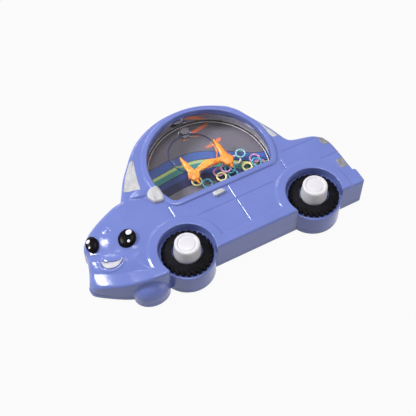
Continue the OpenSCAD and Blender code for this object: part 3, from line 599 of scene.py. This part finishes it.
def field_normals(mesh, points, field, e):
    """Normals from the field where the surface is smooth, and from the faces at its creases."""
    n = len(mesh.vertices)
    g = unit_rows(gradient(field, points, e))
    loops = values_of(mesh.loops, "vertex_index", np.int32)
    totals = values_of(mesh.polygons, "loop_total", np.int32)
    face_normals = values_of(mesh.polygons, "normal", width=3).reshape(-1, 3)
    areas = values_of(mesh.polygons, "area")
    weighted = np.repeat(face_normals * areas[:, None], totals, 0)
    summed = unit_rows(np.stack([np.bincount(loops, weighted[:, k], n) for k in range(3)], 1))
    # the two are blended where the cosine of the angle between them is 0.93 to 0.98
    agree = np.clip(((g * summed).sum(1) - 0.93) / 0.05, 0, 1)[:, None]
    normal = unit_rows(g * agree + summed * (1 - agree))
    mesh.normals_split_custom_set_from_vertices(normal.tolist())


def field_mesh(name, field, low, high, step, keep, blur, fine=None):
    """A mesh of the surface where the field is zero, with a share of its faces kept."""
    verts, quads = surface_net(field, low, high, step)
    mesh = bpy.data.meshes.new(name)
    mesh.from_pydata(verts.tolist(), [], quads.tolist())
    if fine is not None:
        refine(mesh, fine(*verts.T), field, step / 4)
    holder = in_scene(name + "_raw", mesh)
    holder.modifiers.new("fewer", "DECIMATE").ratio = keep
    bpy.context.view_layer.update()
    mesh = bpy.data.meshes.new_from_object(
        holder.evaluated_get(bpy.context.evaluated_depsgraph_get()))
    bpy.data.objects.remove(holder)
    p = settled(mesh, field, 2, step / 3, step / 2)
    mesh.vertices.foreach_set("co", to_row(p).astype(np.float32).ravel())
    mesh.polygons.foreach_set("use_smooth", [True] * len(mesh.polygons))
    mesh.name = name
    mesh.update()
    field_normals(mesh, p, field, blur)
    return mesh


def loft(name, rings, closed=True, hubs=(None, None)):
    """A skin over closed rings of equal length. If closed, a fan round a hub closes each end."""
    n = len(rings[0])
    verts = [v for ring in rings for v in ring]
    faces = [(j * n + i, j * n + (i + 1) % n, (j + 1) * n + (i + 1) % n, (j + 1) * n + i)
             for j in range(len(rings) - 1) for i in range(n)]
    if closed:
        for j, hub in ((0, hubs[0]), (len(rings) - 1, hubs[1])):
            verts.append(tuple(np.mean(rings[j], axis=0)) if hub is None else hub)
            for i in range(n):
                a, b = j * n + i, j * n + (i + 1) % n
                faces.append((b, a, len(verts) - 1) if j == 0 else (a, b, len(verts) - 1))
    return mesh_from(name, verts, faces)


def endless(name, rings, slot, names=None):
    """An object with a skin over rings whose last one meets the first."""
    obj = new_object(name, loft(name, rings + rings[:1], closed=False), slot, names)
    obj.modifiers.new("join", "WELD").merge_threshold = 1e-6
    return obj


def lathe(name, profile, cx, cy):
    """Turns a profile of (radius, height) points, which starts and ends on the axis."""
    turns = [2 * math.pi * k / 96 for k in range(96)]
    rings = [[(cx + r * math.cos(t), cy + r * math.sin(t), z) for t in turns] for r, z in profile[1:-1]]
    return loft(name, rings, hubs=((cx, cy, profile[0][1]), (cx, cy, profile[-1][1])))


def inset_loop(points, d):
    """A closed anticlockwise loop moved inwards by d."""
    p = np.array([q[:2] for q in points], float)
    t = unit_rows(unit_rows(p - np.roll(p, 1, 0)) + unit_rows(np.roll(p, -1, 0) - p))
    return p + d * np.stack([-t[:, 1], t[:, 0]], 1)


# Materials
class Shader:
    """A node material that is built up from its Principled BSDF."""

    def __init__(self, name, color, rough, **sockets):
        self.material = bpy.data.materials.new(name)
        self.material.use_nodes = True
        self.tree = self.material.node_tree
        self.bsdf = self.tree.nodes["Principled BSDF"]
        self.set("Base Color", tuple(color) + (1,))
        self.set("Roughness", rough)
        for key, value in sockets.items():
            self.set(key.replace("_", " "), value)

    def set(self, socket, value):
        self.bsdf.inputs[socket].default_value = value

    def node(self, kind, **values):
        """A new shader node of that kind, with values for its sockets or settings."""
        node = self.tree.nodes.new("ShaderNode" + kind)
        for key, value in values.items():
            if key in node.inputs:
                node.inputs[key].default_value = value
            else:
                setattr(node, key, value)
        return node

    def link(self, a, a_out, b, b_in):
        self.tree.links.new(a.outputs[a_out], b.inputs[b_in])

    def noise(self, scale, detail=2.0):
        noise = self.node("TexNoise", Scale=scale, Detail=detail)
        self.link(self.node("TexCoord"), "Object", noise, "Vector")
        return noise

    def math(self, operation, a, b=None):
        node = self.node("Math", operation=operation)
        for k, value in enumerate((a, b)):
            if isinstance(value, bpy.types.NodeSocket):
                self.tree.links.new(value, node.inputs[k])
            elif value is not None:
                node.inputs[k].default_value = value
        return node.outputs[0]

    def ramp(self, stops, interpolation):
        node = self.node("ValToRGB")
        ramp = node.color_ramp
        ramp.interpolation = interpolation
        while len(ramp.elements) < len(stops):
            ramp.elements.new(0.5)
        for element, (position, color) in zip(ramp.elements, stops):
            element.position = position
            element.color = tuple(color) + (1,)
        return node

    def vary_color(self, color_a, color_b, scale):
        noise = self.noise(scale)
        mix = self.ramp(((0.35, color_a), (0.65, color_b)), "LINEAR")
        self.link(noise, "Fac", mix, "Fac")
        self.link(mix, "Color", self.bsdf, "Base Color")

    def vary_rough(self, low, high, scale):
        noise = self.noise(scale, 3.0)
        spread = self.node("MapRange")
        for key, value in (("From Min", 0.3), ("From Max", 0.7), ("To Min", low), ("To Max", high)):
            spread.inputs[key].default_value = value
        self.link(noise, "Fac", spread, "Value")
        self.link(spread, "Result", self.bsdf, "Roughness")

    def bump(self, scale, strength, distance=0.0002, detail=2.0):
        noise = self.noise(scale, detail)
        bump = self.node("Bump", Strength=strength, Distance=distance)
        self.link(noise, "Fac", bump, "Height")
        self.link(bump, "Normal", self.bsdf, "Normal")

    def mix_in(self, other, output, fac, fac_output):
        """Shows the other shader instead of the BSDF for a share of the rays."""
        mix = self.node("MixShader")
        self.link(fac, fac_output, mix, "Fac")
        self.link(self.bsdf, "BSDF", mix, 1)
        self.link(other, output, mix, 2)
        self.link(mix, "Shader", self.tree.nodes["Material Output"], "Surface")


def srgb(r, g, b):
    return tuple(c / 12.92 if c <= 0.04045 else ((c + 0.055) / 1.055) ** 2.4
                 for c in (r / 255, g / 255, b / 255))


looks = {}


def plain_look(name, color, rough, darker, lighter, scale, grain=None, **sockets):
    """Adds a look whose colour varies a little, with a fine grain where one is given."""
    m = Shader(name, srgb(*color), rough, **sockets)
    m.vary_color(srgb(*darker), srgb(*lighter), scale)
    if grain:
        m.bump(*grain)
    looks[name] = m.material


def silver_look(name, color, darker, lighter):
    plain_look(name, color, 0.5, darker, lighter, 500, (2600, 0.25, 0.0002, 3), Metallic=0.25,
               Specular_IOR_Level=0.3)


def body_plastic():
    m = Shader("body_plastic", srgb(112, 126, 195), 0.14, Specular_IOR_Level=0.5)
    m.vary_color(srgb(110, 124, 193), srgb(114, 128, 197), 60)
    m.vary_rough(0.11, 0.17, 180)
    m.bump(900, 0.05)
    looks["blue_plastic"] = m.material


def clear_look(name, ior):
    """Adds a clear surface that lets shadow rays through, so that what lies behind it is lit."""
    m = Shader(name, (0.97, 0.98, 1.0), 0.02, Transmission_Weight=1.0, IOR=ior)
    m.bump(260, 0.03)
    path = m.node("LightPath")
    m.mix_in(m.node("BsdfTransparent"), "BSDF", path, "Is Shadow Ray")
    looks[name] = m.material


# The print's turn, and its sizes in millimetres
PRINT_TURN = -14
WAVE_LENGTH = 72
WAVE_HEIGHT = 4.5
WAVE_SHIFT = 5
RIBBON_LOW = -13
RIBBON_HIGH = 11
DASH_RISE = 0.42
DASH_ROW = 13
DASH_W = 2.1
DASH_SHIFT = 4
DASH_PITCH = 34
DASH_L = 15
PRINT_GREY = (150, 143, 156)
PRINT_DARK = (36, 34, 52)
# Where each ribbon starts, as a share of the way across, and its colour
RIBBONS = ((0, PRINT_GREY), (0.10, PRINT_DARK), (0.12, (52, 54, 118)), (0.32, (70, 94, 170)),
           (0.46, PRINT_DARK), (0.475, (92, 172, 170)), (0.62, (206, 218, 166)), (0.70, PRINT_DARK),
           (0.715, (98, 132, 200)), (0.93, PRINT_DARK), (0.945, PRINT_GREY))
DASH_ORANGE = (236, 158, 108)


def print_look():
    """A generic print for the card: wavy ribbons in sea colours on grey, with orange dashes."""
    m = Shader("printed_card", srgb(112, 110, 116), 0.45)
    place = m.node("Mapping", vector_type="TEXTURE",
                   Location=tuple(origin + Vector((WIN_X, WIN_Y, 0)) * MM),
                   Rotation=(0, 0, math.radians(PRINT_TURN)), Scale=(MM, MM, MM))
    m.link(m.node("TexCoord"), "Object", place, "Vector")
    split = m.node("SeparateXYZ")
    m.link(place, "Vector", split, "Vector")
    along, across = split.outputs["X"], split.outputs["Y"]
    wave = m.math("COSINE", m.math("MULTIPLY", m.math("ADD", along, WAVE_SHIFT), 2 * math.pi / WAVE_LENGTH))
    level = m.math("SUBTRACT", across, m.math("MULTIPLY", wave, WAVE_HEIGHT))
    share = m.math("DIVIDE", m.math("SUBTRACT", level, RIBBON_LOW), RIBBON_HIGH - RIBBON_LOW)
    ribbons = m.ramp([(start, srgb(*color)) for start, color in RIBBONS], "CONSTANT")
    m.tree.links.new(share, ribbons.inputs["Fac"])
    # dashes in rows across the upper part
    rise = m.math("SUBTRACT", across, m.math("MULTIPLY", along, DASH_RISE))
    rows = m.math("DIVIDE", rise, DASH_ROW)
    row = m.math("FRACT", rows)
    step = m.math("MULTIPLY", m.math("FLOOR", rows), DASH_SHIFT)
    column = m.math("FRACT", m.math("DIVIDE", m.math("ADD", along, step), DASH_PITCH))
    dash = m.math("MULTIPLY", m.math("LESS_THAN", row, DASH_W / DASH_ROW),
                  m.math("LESS_THAN", column, DASH_L / DASH_PITCH))
    dash = m.math("MULTIPLY", dash, m.math("GREATER_THAN", level, RIBBON_HIGH + 1))
    grain = m.noise(900, 2.0)
    orange_mix = m.node("Mix", data_type="RGBA")
    m.tree.links.new(dash, orange_mix.inputs["Factor"])
    m.link(ribbons, "Color", orange_mix, 6)
    orange_mix.inputs[7].default_value = srgb(*DASH_ORANGE) + (1,)
    grain_mix = m.node("Mix", data_type="RGBA", blend_type="OVERLAY", Factor=0.25)
    m.link(orange_mix, 2, grain_mix, 6)
    m.link(grain, "Color", grain_mix, 7)
    m.link(grain_mix, 2, m.bsdf, "Base Color")
    m.bump(2500, 0.1, 0.0001)
    looks["printed_card"] = m.material


body_plastic()
silver_look("silver_paint", (196, 196, 200), (188, 188, 192), (203, 203, 206))
silver_look("lamp_paint", (140, 140, 146), (128, 128, 134), (150, 150, 155))
silver_look("mouth_paint", (176, 175, 184), (170, 169, 178), (182, 181, 190))
plain_look("white_plastic", (219, 217, 222), 0.25, (216, 214, 220), (222, 220, 224), 90, (700, 0.05))
plain_look("black_rubber", (22, 21, 24), 0.65, (20, 19, 23), (29, 28, 32), 260, (1500, 0.3, 0.0002, 3),
           Specular_IOR_Level=0.06)
plain_look("black_gloss", (18, 16, 19), 0.22, (15, 13, 16), (22, 20, 23), 120, (500, 0.03),
           Specular_IOR_Level=0.05)
plain_look("white_paint", (224, 224, 236), 0.3, (218, 218, 232), (230, 230, 240), 700)
plain_look("orange_plastic", (236, 140, 40), 0.3, (228, 128, 32), (242, 152, 52), 300, (900, 0.1))
plain_look("frosted_rubber", (132, 126, 136), 0.5, (122, 116, 127), (144, 139, 149), 400, (1500, 0.3))
plain_look("grey_rubber", (60, 60, 64), 0.6, (54, 54, 58), (68, 68, 72), 300, (1300, 0.2))
plain_look("milky_plastic", (214, 216, 224), 0.4, (208, 210, 220), (220, 222, 228), 200, (900, 0.1))
plain_look("clear_hose", (205, 212, 216), 0.25, (198, 206, 212), (212, 218, 222), 400, Alpha=0.6)
plain_look("steel", (186, 186, 190), 0.32, (176, 176, 182), (198, 198, 200), 900, (3000, 0.15, 0.0001),
           Metallic=1.0)
# a pale colour for the thin bead along the foot of the tank's wall
plain_look("pale_bead", (226, 214, 214), 0.4, (214, 200, 200), (236, 228, 228), 300)
print_look()
# What light crosses from one to the other: air and plastic, plastic and water, water and air
PLASTIC_IOR = 1.49
WATER_IOR = 1.33
clear_look("clear_plastic", PLASTIC_IOR)
clear_look("clear_wet", PLASTIC_IOR / WATER_IOR)
clear_look("clear_joint", 1.0)
clear_look("air_bubble", 1 / WATER_IOR)
RING_SHINE = 1.12
for name, color in (("ring_yellow", srgb(222, 214, 150)), ("ring_pink", srgb(206, 146, 186)),
                    ("ring_teal", srgb(70, 158, 184)), ("ring_white", srgb(230, 230, 232)),
                    ("ring_pale_teal", srgb(140, 198, 206))):
    m = Shader(name, color, 0.3)
    m.vary_color(color, [min(1, c * RING_SHINE) for c in color], 300)
    m.bump(900, 0.08)
    looks[name] = m.material


# The moulded front shell
def near_fine_relief(x, y, z):
    """Where the face has relief that takes a finer mesh."""
    near = near_line(x, y, MOUTH, 2 * MOUTH_RIM_W + 0.3)
    for seam in SEAMS:
        near |= near_line(x, y, seam, SEAM_W + 0.35)
    return near & (z > 11)


def make_shell():
    step = 0.34
    keep = 0.24
    low = (MAP_LOW[0] + 1, MAP_LOW[1] + 1, SPLIT_Z - 1.03)
    high = (MAP_HIGH[0] - 1, MAP_HIGH[1] - 1, BODY_T + 2.5)
    fine = near_fine_relief
    mesh = field_mesh("front_shell_look", shell_field, low, high, step, keep, step / 4, fine)
    obj = new_object("shell", mesh, "blue_plastic")
    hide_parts("front_shell")


make_shell()


def pad(name, points, z0, z1, r, look, top):
    """A painted pad with a rounded upper edge. top gives the lift of its points at a place."""
    loops = [np.array([q[:2] for q in points], float)]
    heights = [z0]
    for a in range(0, 91, 15):
        c, s = cos_sin(a)
        loops.append(inset_loop(points, r * (1 - c)))
        heights.append(z1 - r + r * s)
    rings = []
    for loop, z in zip(loops, heights):
        lift = [0 if top is None else top(q[0], q[1]) for q in loop]
        rings.append([(q[0], q[1], z + h) for q, h in zip(loop, lift)])
    weighted_normals(new_object(name, loft(name, rings), "silver_paint", [look]))


# How far the eyes stand up, the lower rounding of their domes, and the section of their dots
EYE_LIFT = 0.35
EYE_FOOT = 0.35
EYE_H = 1.25
EYE_POWER = 0.75
DOT_PROFILE = ((1.0, -0.3), (1.0, 0.03), (0.9, 0.07), (0.45, 0.08))


def eye_point(at, x, y, h):
    """A place on an eye, at x, y from its middle and h up from its foot on the sloping nose."""
    slope = HINGES[0][1] + HINGES[1][1]
    z = float(base_height(np.array(at[0]))) + EYE_LIFT
    return at[0] + x - slope * h, at[1] + y, z + slope * x + h


def eye_dome(name, at, rx, ry, c, s):
    """A shallow black dome with a rounded edge, turned by the angle with cosine c and sine s."""
    curved = [(cos ** EYE_POWER, EYE_FOOT + EYE_H * sin) for cos, sin in map(cos_sin, range(10, 90, 8))]
    rings = []
    for share, h in [(1.0, -0.5), (1.0, EYE_FOOT)] + curved:
        ring = []
        for k in range(64):
            u = rx * share * math.cos(2 * math.pi * k / 64)
            v = ry * share * math.sin(2 * math.pi * k / 64)
            ring.append(eye_point(at, u * c - v * s, u * s + v * c, h))
        rings.append(ring)
    obj = new_object(name + "_dome", loft(name + "_dome", rings), "black_gloss")
    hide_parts(name)


def eye_dot(name, at, rx, ry, c, s, dx, dy, r):
    """A thin white dot that follows the dome."""
    rings = []
    for share, up in DOT_PROFILE:
        ring = []
        for t in np.linspace(0, 2 * math.pi, 28, endpoint=False):
            x, y = dx + r * share * math.cos(t), dy + r * share * math.sin(t)
            drop = math.hypot((x * c + y * s) / rx, (y * c - x * s) / ry) ** (2 / EYE_POWER)
            h = EYE_FOOT + EYE_H * math.sqrt(max(0, 1 - drop)) + up
            ring.append(eye_point(at, x, y, h))
        rings.append(ring)
    new_object(name, loft(name, rings), "white_paint")


def eyes():
    for name, at, rx, ry, turn, dots in (
            ("inner_eye", INNER_EYE, 4.3, 4.8, -28, ((2.2, 1.7, 1.45), (0.2, -2.5, 0.7))),
            ("outer_eye", OUTER_EYE, 3.1, 4.3, -6, ((-0.9, 1.9, 1.05), (-1.6, -1.4, 0.5)))):
        c, s = cos_sin(turn)
        eye_dome(name, at, rx, ry, c, s)
        for k, dot in enumerate(dots):
            eye_dot(f"{name}_dot_{k + 1}", at, rx, ry, c, s, *dot)


eyes()

# Outlines of the silver details
MIRROR = closed_curve([(-31.6, 30.6), (-31.4, 38.6), (-35.2, 38.9), (-37.6, 37.4), (-38.5, 34.6),
                       (-37.4, 31.5), (-36.2, 30.4)], 6)
HANDLE = [(-2.7, 20.4), (-4.5, 22.7), (-9.4, 22.6), (-9.5, 20.6), (-9.2, 19.9)]
SCREEN_PANE = [(-47.2, 43.4), (-39.1, 41.2), (-38.3, 46.4), (-36.8, 52.0), (-34.6, 59.6),
               (-37.4, 58.4), (-42.6, 51.9), (-46.9, 44.6)]
REAR_PANE = shift([(-23.6, 38.6), (-28.6, 52.4), (-31.2, 53.2), (-26.4, 38.8)], TAIL_X)
LAMP_TOP = shift([(-3.0, 22.4), (-4.4, 26.6), (-6.6, 28.2), (-6.9, 24), (-5.6, 22.0)], TAIL_X)
LAMP_LOW = shift([(-2.6, 5.8), (-2.6, 11.4), (-6.4, 11.6), (-6.6, 5.8)], TAIL_X)


def rounded(points, n=5, share=0.12):
    """A polygon with its corners softened over a share of its sides."""
    out = []
    m = len(points)
    for i in range(m):
        a, b, c = (np.array(points[k % m][:2], float) for k in (i - 1, i, i + 1))
        p, q = b + (a - b) * share, b + (c - b) * share
        out += [(1 - t) ** 2 * p + 2 * t * (1 - t) * b + t * t * q for t in np.linspace(0, 1, n)]
    return out


def face_top(x, y):
    return float(look_up(height_map, np.array(x), np.array(y))) - BODY_T


def silver_details():
    """Coats of silver paint. Their heights are given from the top of the face."""
    for name, points, z0, z1, r, look, top in (
            ("mirror", MIRROR, -1.4, 1.9, 1.3, "silver_paint", None),
            ("door_handle", rounded(HANDLE, 7, 0.25), -1, 1.5, 0.45, "silver_paint", None),
            ("windscreen", rounded(SCREEN_PANE), -1.2, 0.2, 0.3, "silver_paint", None),
            ("rear_pane", rounded(REAR_PANE), -1.2, 0.2, 0.3, "silver_paint", None),
            ("lamp_top", rounded(LAMP_TOP), -3, 0.25, 0.4, "lamp_paint", None),
            ("lamp_low", rounded(LAMP_LOW), -3, 0.2, 0.4, "lamp_paint", None),
            ("mouth", inset_loop(MOUTH, MOUTH_INSET), -1.5, -0.1, 0.2, "mouth_paint", face_top)):
        pad(name, points, BODY_T + z0, BODY_T + z1, r, look, top)


silver_details()


# Radius and height of a button's flange and stem, and radius and depth of the ring in its top
BUTTON_FOOT = [(0, 10.05), (8.6, 10.05), (8.6, 11.3), (6.75, 11.3), (6.75, 14.5)]
BUTTON_RING = [(4.75, 0), (4.6, 0.08), (4.4, 0.34), (4.2, 0.38), (4.0, 0.3), (3.8, 0.14), (3.6, 0.1),
               (0, 0.06)]
BUTTON_TOP = BODY_T + 5.7
BUTTON_TOP_R = 6.1
BUTTON_EDGE = 0.9


def buttons():
    for side, x in SIDES:
        edge = arc(BUTTON_TOP_R - BUTTON_EDGE, BUTTON_TOP - BUTTON_EDGE, BUTTON_EDGE, 0, 90, 6)
        profile = BUTTON_FOOT + edge + [(r, BUTTON_TOP - depth) for r, depth in BUTTON_RING]
        obj = new_object(side + "_button_look", lathe(side + "_button_look", profile, x, 0),
                         "white_plastic", body=side + "_button")
        weighted_normals(obj)
        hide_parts(side + "_button")


buttons()

TYRE_R = 12.6
TOOTH_N = 27
TOOTH_H = 1.3
TOOTH_SLANT = 0.35
TOOTH_DROP = 0.45
NOTCH_SLOPE = 3.8
NOTCH_START = 0.95
# Radius and height from the hub's foot outwards and back over the top, and the tooth's share there
TYRE_SECTION = [(7.4, 13.06, 0), (10.6, 13.06, 0), (12.5, 13.06, 1), (TYRE_R, 13.3, 1), (TYRE_R, 14.3, 1),
                (12.35, 14.75, 1), (11.7, 15.0, 0.85), (10.9, 15.2, 0.45), (10.2, 15.4, 0.12),
                (9.4, 15.65, 0), (8.5, 15.95, 0), (7.9, 16.2, 0), (7.55, 16.22, 0), (7.4, 16.1, 0)]


def tyres():
    turn = np.linspace(0, 2 * math.pi, TOOTH_N * 16, endpoint=False)
    for side, x in SIDES:
        rings = []
        for r, z, share in TYRE_SECTION:
            phase = (turn * TOOTH_N / (2 * math.pi) + (TYRE_R - r) * TOOTH_SLANT) % 1
            notch = ramp(np.abs(phase - 0.5) * NOTCH_SLOPE - NOTCH_START)
            radius = r - TOOTH_H * share * notch
            drop = np.where((z > 14.4) & (share > 0), TOOTH_DROP * notch * min(1, share * 1.6), 0)
            rings.append([(x + a * math.cos(t), a * math.sin(t), z - d)
                          for a, t, d in zip(radius, turn, drop)])
        obj = endless(side + "_tyre_look", rings, "black_rubber")
        weighted_normals(obj)
        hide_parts(side + "_tyre")


tyres()

PEG_X = WIN_X
PEG_Y = WIN_Y - 0.8
PEG_Z = (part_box("peg_frame")[0].z / MM) + 1.7
PEG_SPAN = 19.8
PEG_TURN = 2
SPIKE_LEAN = 1.5
SPIKE_UP = 13.4
SPIKE_DOWN = 6.6
HUB_DROP = 1.4
HUB_R = 2.95
HUB_T = 1.45
KNOB_RING = 1.9
KNOB_R = 0.95
# Points of the bar: x, y and radius
BAR_LINE = [(-9.9, -0.9, 1.3), (-6.5, 0.4, 1.6), (-3.4, 1.2, 1.95), (0, 1.5, 2.35), (2.4, 1.3, 2.1),
            (4.8, 0.5, 1.5), (7.1, 0.6, 1.4), (9.9, 0.2, 1.3)]


def capsule(x, y, z, a, b, ra, rb):
    """A round cone from a to b."""
    ab = np.array(b) - np.array(a)
    t = ((x - a[0]) * ab[0] + (y - a[1]) * ab[1] + (z - a[2]) * ab[2]) / (ab @ ab)
    t = np.clip(t, 0, 1)
    d = np.sqrt((x - a[0] - t * ab[0]) ** 2 + (y - a[1] - t * ab[1]) ** 2 + (z - a[2] - t * ab[2]) ** 2)
    return d - (ra + (rb - ra) * t)


def ball(x, y, z, r):
    return np.sqrt(x ** 2 + y ** 2 + z ** 2) - r


def soft_min(a, b, k):
    return 0.5 * (a + b - np.sqrt((a - b) ** 2 + k * k))


def peg_field(x, y, z):
    """Two spikes on lumpy hubs with feet below them, and a swelling bar between the hubs."""
    cos, sin = cos_sin(PEG_TURN)
    dx, dy, w = x - PEG_X, y - PEG_Y, z - PEG_Z
    u, v = dx * cos + dy * sin, dy * cos - dx * sin
    shape = 1e3
    for s in (-1, 1):
        c = s * PEG_SPAN / 2
        lean = s * math.tan(math.radians(SPIKE_LEAN))
        up = SPIKE_UP - (1.2 if s < 0 else 0)
        shoulder = (c + lean * up * 0.6, up * 0.6, 0)
        spike = capsule(u, v, w, (c, 0, 0), shoulder, 2.0, 1.35)
        point = capsule(u, v, w, shoulder, (c + lean * up, up, 0), 1.35, 0.35)
        spike = soft_min(spike, point, 0.2)
        foot = capsule(u, v, w, (c, -HUB_DROP, 0), (c - lean * SPIKE_DOWN, -SPIKE_DOWN, 0), 1.7, 0.3)
        turn = np.arctan2(v + HUB_DROP, u - c)
        lobes = HUB_R + 0.28 * np.cos(6 * turn + 0.6 * s) + 0.14 * np.cos(10 * turn + s)
        hub = round_and(np.hypot(u - c, v + HUB_DROP) - lobes, np.abs(w) - HUB_T, 0.7)
        shape = soft_min(soft_min(soft_min(shape, spike, 0.35), foot, 0.35), hub, 0.5)
        for k in range(5):
            cos, sin = cos_sin(72 * k + 20 * s)
            knob = ball(u - c - KNOB_RING * cos, v + HUB_DROP - KNOB_RING * sin, w - 0.6, KNOB_R)
            shape = soft_min(shape, knob, 0.15)
        pin = np.maximum(np.hypot(u - c, v) - 1.85, np.abs(w - 0.9) - 0.9)
        shape = soft_min(shape, pin, 0.3)
    for (ax, ay, ar), (bx, by, br) in zip(BAR_LINE, BAR_LINE[1:]):
        shape = soft_min(shape, capsule(u, v, w, (ax, ay, 0), (bx, by, 0), ar, br), 0.35)
    shape = soft_min(shape, ball(u - 0.6, v - 1.5, w - 0.5, 2.0), 0.4)
    groove = capsule(u, v, w, (-7.3, 1.0, 1.5), (-3.0, 1.7, 1.9), 0.3, 0.3)
    shape = np.maximum(shape, -groove)
    return round_and(shape, np.abs(w) - 1.75, 0.5)


def peg_frame():
    step = 0.2
    low = (PEG_X - 14, PEG_Y - 8, PEG_Z - 2.6)
    high = (PEG_X + 14, PEG_Y + 15, PEG_Z + 2.8)
    mesh = field_mesh("pegs", peg_field, low, high, step, 0.5, step / 2)
    obj = new_object("pegs", mesh, "orange_plastic")
    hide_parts("peg_frame")


peg_frame()


# The tank
def window_ring(d, z):
    return [(x, y, z) for x, y in window_loop(d)]


def tank():
    """The clear cup. Its faces are grouped by what lies on their other side."""
    inner = TANK_LAP - TANK_WALL
    under = TANK_Z - TANK_WALL
    section = ((inner - 0.5, under), (inner - 0.15, under - 0.15), (inner, under - 0.5),
               (inner, TANK_FLOOR), (TANK_LAP, TANK_FLOOR), (TANK_LAP, TANK_Z - 0.3),
               (TANK_LAP - 0.1, TANK_Z - 0.1), (TANK_LAP - 0.3, TANK_Z))
    rings = [window_ring(d, z) for d, z in section]
    mesh = loft("tank_clear", rings)
    for polygon in mesh.polygons:
        heights = [mesh.vertices[v].co.z / MM for v in polygon.vertices]
        low, high = min(heights), max(heights)
        row = polygon.index // len(rings[0])
        polygon.material_index = 0 if row >= 4 and high > TANK_FLOOR + 0.01 else 1
        if row == 3:
            polygon.material_index = 2
        if row >= len(rings) - 1:
            polygon.material_index = 1 if low < under + 0.01 and high < TANK_Z - 0.01 else 0
    obj = new_object("tank_clear", mesh, "clear_plastic", ["clear_plastic", "clear_wet", "clear_joint"])
    weighted_normals(obj)
    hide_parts("tank_front")


tank()

BUBBLE_AT = (-4.9, 52.1)
BUBBLE_R = 12.7
BUBBLE_H = 2.6


def air_bubble():
    """A flat bubble under the tank's front, with a round meniscus for its edge."""
    top = TANK_Z - TANK_WALL - 0.05
    half = BUBBLE_H / 2
    profile = [(0, top - BUBBLE_H)] + arc(BUBBLE_R - half, top - half, half, -90, 90, 12) + [(0, top)]
    new_object("air_bubble", lathe("air_bubble", profile, *BUBBLE_AT), "air", ["air_bubble"])


air_bubble()


BEAD_R = 0.22


def pale_bead():
    """A thin pale bead along the foot of the tank's wall."""
    rings = []
    for a in range(0, 360, 45):
        c, s = cos_sin(a)
        rings.append(window_ring(TANK_LAP - TANK_WALL - 0.3 + BEAD_R * c, TANK_FLOOR + 0.3 + BEAD_R * s))
    endless("pale_bead", rings, "clear_plastic", ["pale_bead"])


pale_bead()


BELLOWS_R = 8.55
BELLOWS_FOLD = 2.1
BELLOWS_WALL = 0.65
BELLOWS_GAP = 0.05
BELLOWS_STEPS = 48


def bellows():
    """A rubber concertina for each button, made to the length of the part's bellows."""
    for side, x in SIDES:
        low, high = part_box(side + "_bellows")
        z0, z1 = low.z / MM + BELLOWS_GAP, high.z / MM - BELLOWS_GAP
        outside = []
        for k in range(BELLOWS_STEPS + 1):
            t = k / BELLOWS_STEPS
            fold = 0.5 - 0.5 * math.cos(4 * math.pi * t)
            outside.append((BELLOWS_R - BELLOWS_FOLD * (1 - fold), z0 + (z1 - z0) * t))
        loop = outside + [(r - BELLOWS_WALL, z) for r, z in outside[::-1]]
        rings = [[(x + r * math.cos(a), r * math.sin(a), z) for r, z in loop]
                 for a in np.linspace(0, 2 * math.pi, 96, endpoint=False)]
        obj = endless(side + "_bellows_look", rings, "grey_rubber")
        weighted_normals(obj)
        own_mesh(obj)
        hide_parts(side + "_bellows")


bellows()


# Looks of the solids: those that no piece above replaces show them
for subpart in frame["record"]["subparts"]:
    slot = subpart["material_slot"]
    mesh = frame["nodes"][subpart["node"]].data
    mesh.materials.clear()
    mesh.materials.append(looks["clear_joint" if slot == "clear_plastic" else slot])


# Floor, lights and world
FLOOR_SHADE = 0.22
FLOOR_GLOW = 0.95
WORLD_LIGHT = 0.42
LIGHT_AIM = (-0.02, 0, 0.01)


def floor():
    """A plain floor that shows as white to camera, glass and gloss, and keeps a faint shadow."""
    bpy.ops.mesh.primitive_plane_add(size=6, location=(origin.x, origin.y, -0.0002))
    plane = bpy.context.object
    plane.name = "floor"
    m = Shader("floor", (FLOOR_SHADE,) * 3, 0.9)
    rays = m.node("LightPath").outputs
    any_ray = m.math("MAXIMUM", rays["Is Camera Ray"], rays["Is Transmission Ray"])
    any_ray = m.math("MAXIMUM", any_ray, rays["Is Glossy Ray"])
    share = m.math("MULTIPLY", any_ray, FLOOR_GLOW)
    m.mix_in(m.node("Emission", Color=(1, 1, 1, 1), Strength=1.0), "Emission", share.node, 0)
    plane.data.materials.append(m.material)


def area_light(name, direction, distance, size, size_y, power, color=(1, 1, 1)):
    data = bpy.data.lights.new(name, "AREA")
    data.shape = "RECTANGLE"
    data.size = size
    data.size_y = size_y
    data.energy = power
    data.color = color
    light = in_scene(name, data)
    d = Vector(direction).normalized()
    light.location = Vector(LIGHT_AIM) + d * distance
    light.rotation_euler = d.to_track_quat("Z", "Y").to_euler()


def world():
    w = bpy.data.worlds.new("world")
    bpy.context.scene.world = w
    w.use_nodes = True
    background = w.node_tree.nodes["Background"]
    background.inputs["Color"].default_value = (0.97, 0.98, 1.0, 1)
    background.inputs["Strength"].default_value = WORLD_LIGHT


floor()
world()
area_light("key", (-0.618, 0.468, 0.632), 1.2, 0.36, 0.29, 9.5)
area_light("overhead", (0.05, 0.15, 1), 1.1, 0.45, 0.45, 4.0)
area_light("back", (0.020, 0.882, 0.471), 1.2, 0.33, 0.16, 1.5)
area_light("fill", (0.85, -0.6, 0.35), 1.2, 0.9, 0.9, 4.0, (1, 0.93, 0.9))
bpy.context.scene.view_settings.view_transform = "Standard"
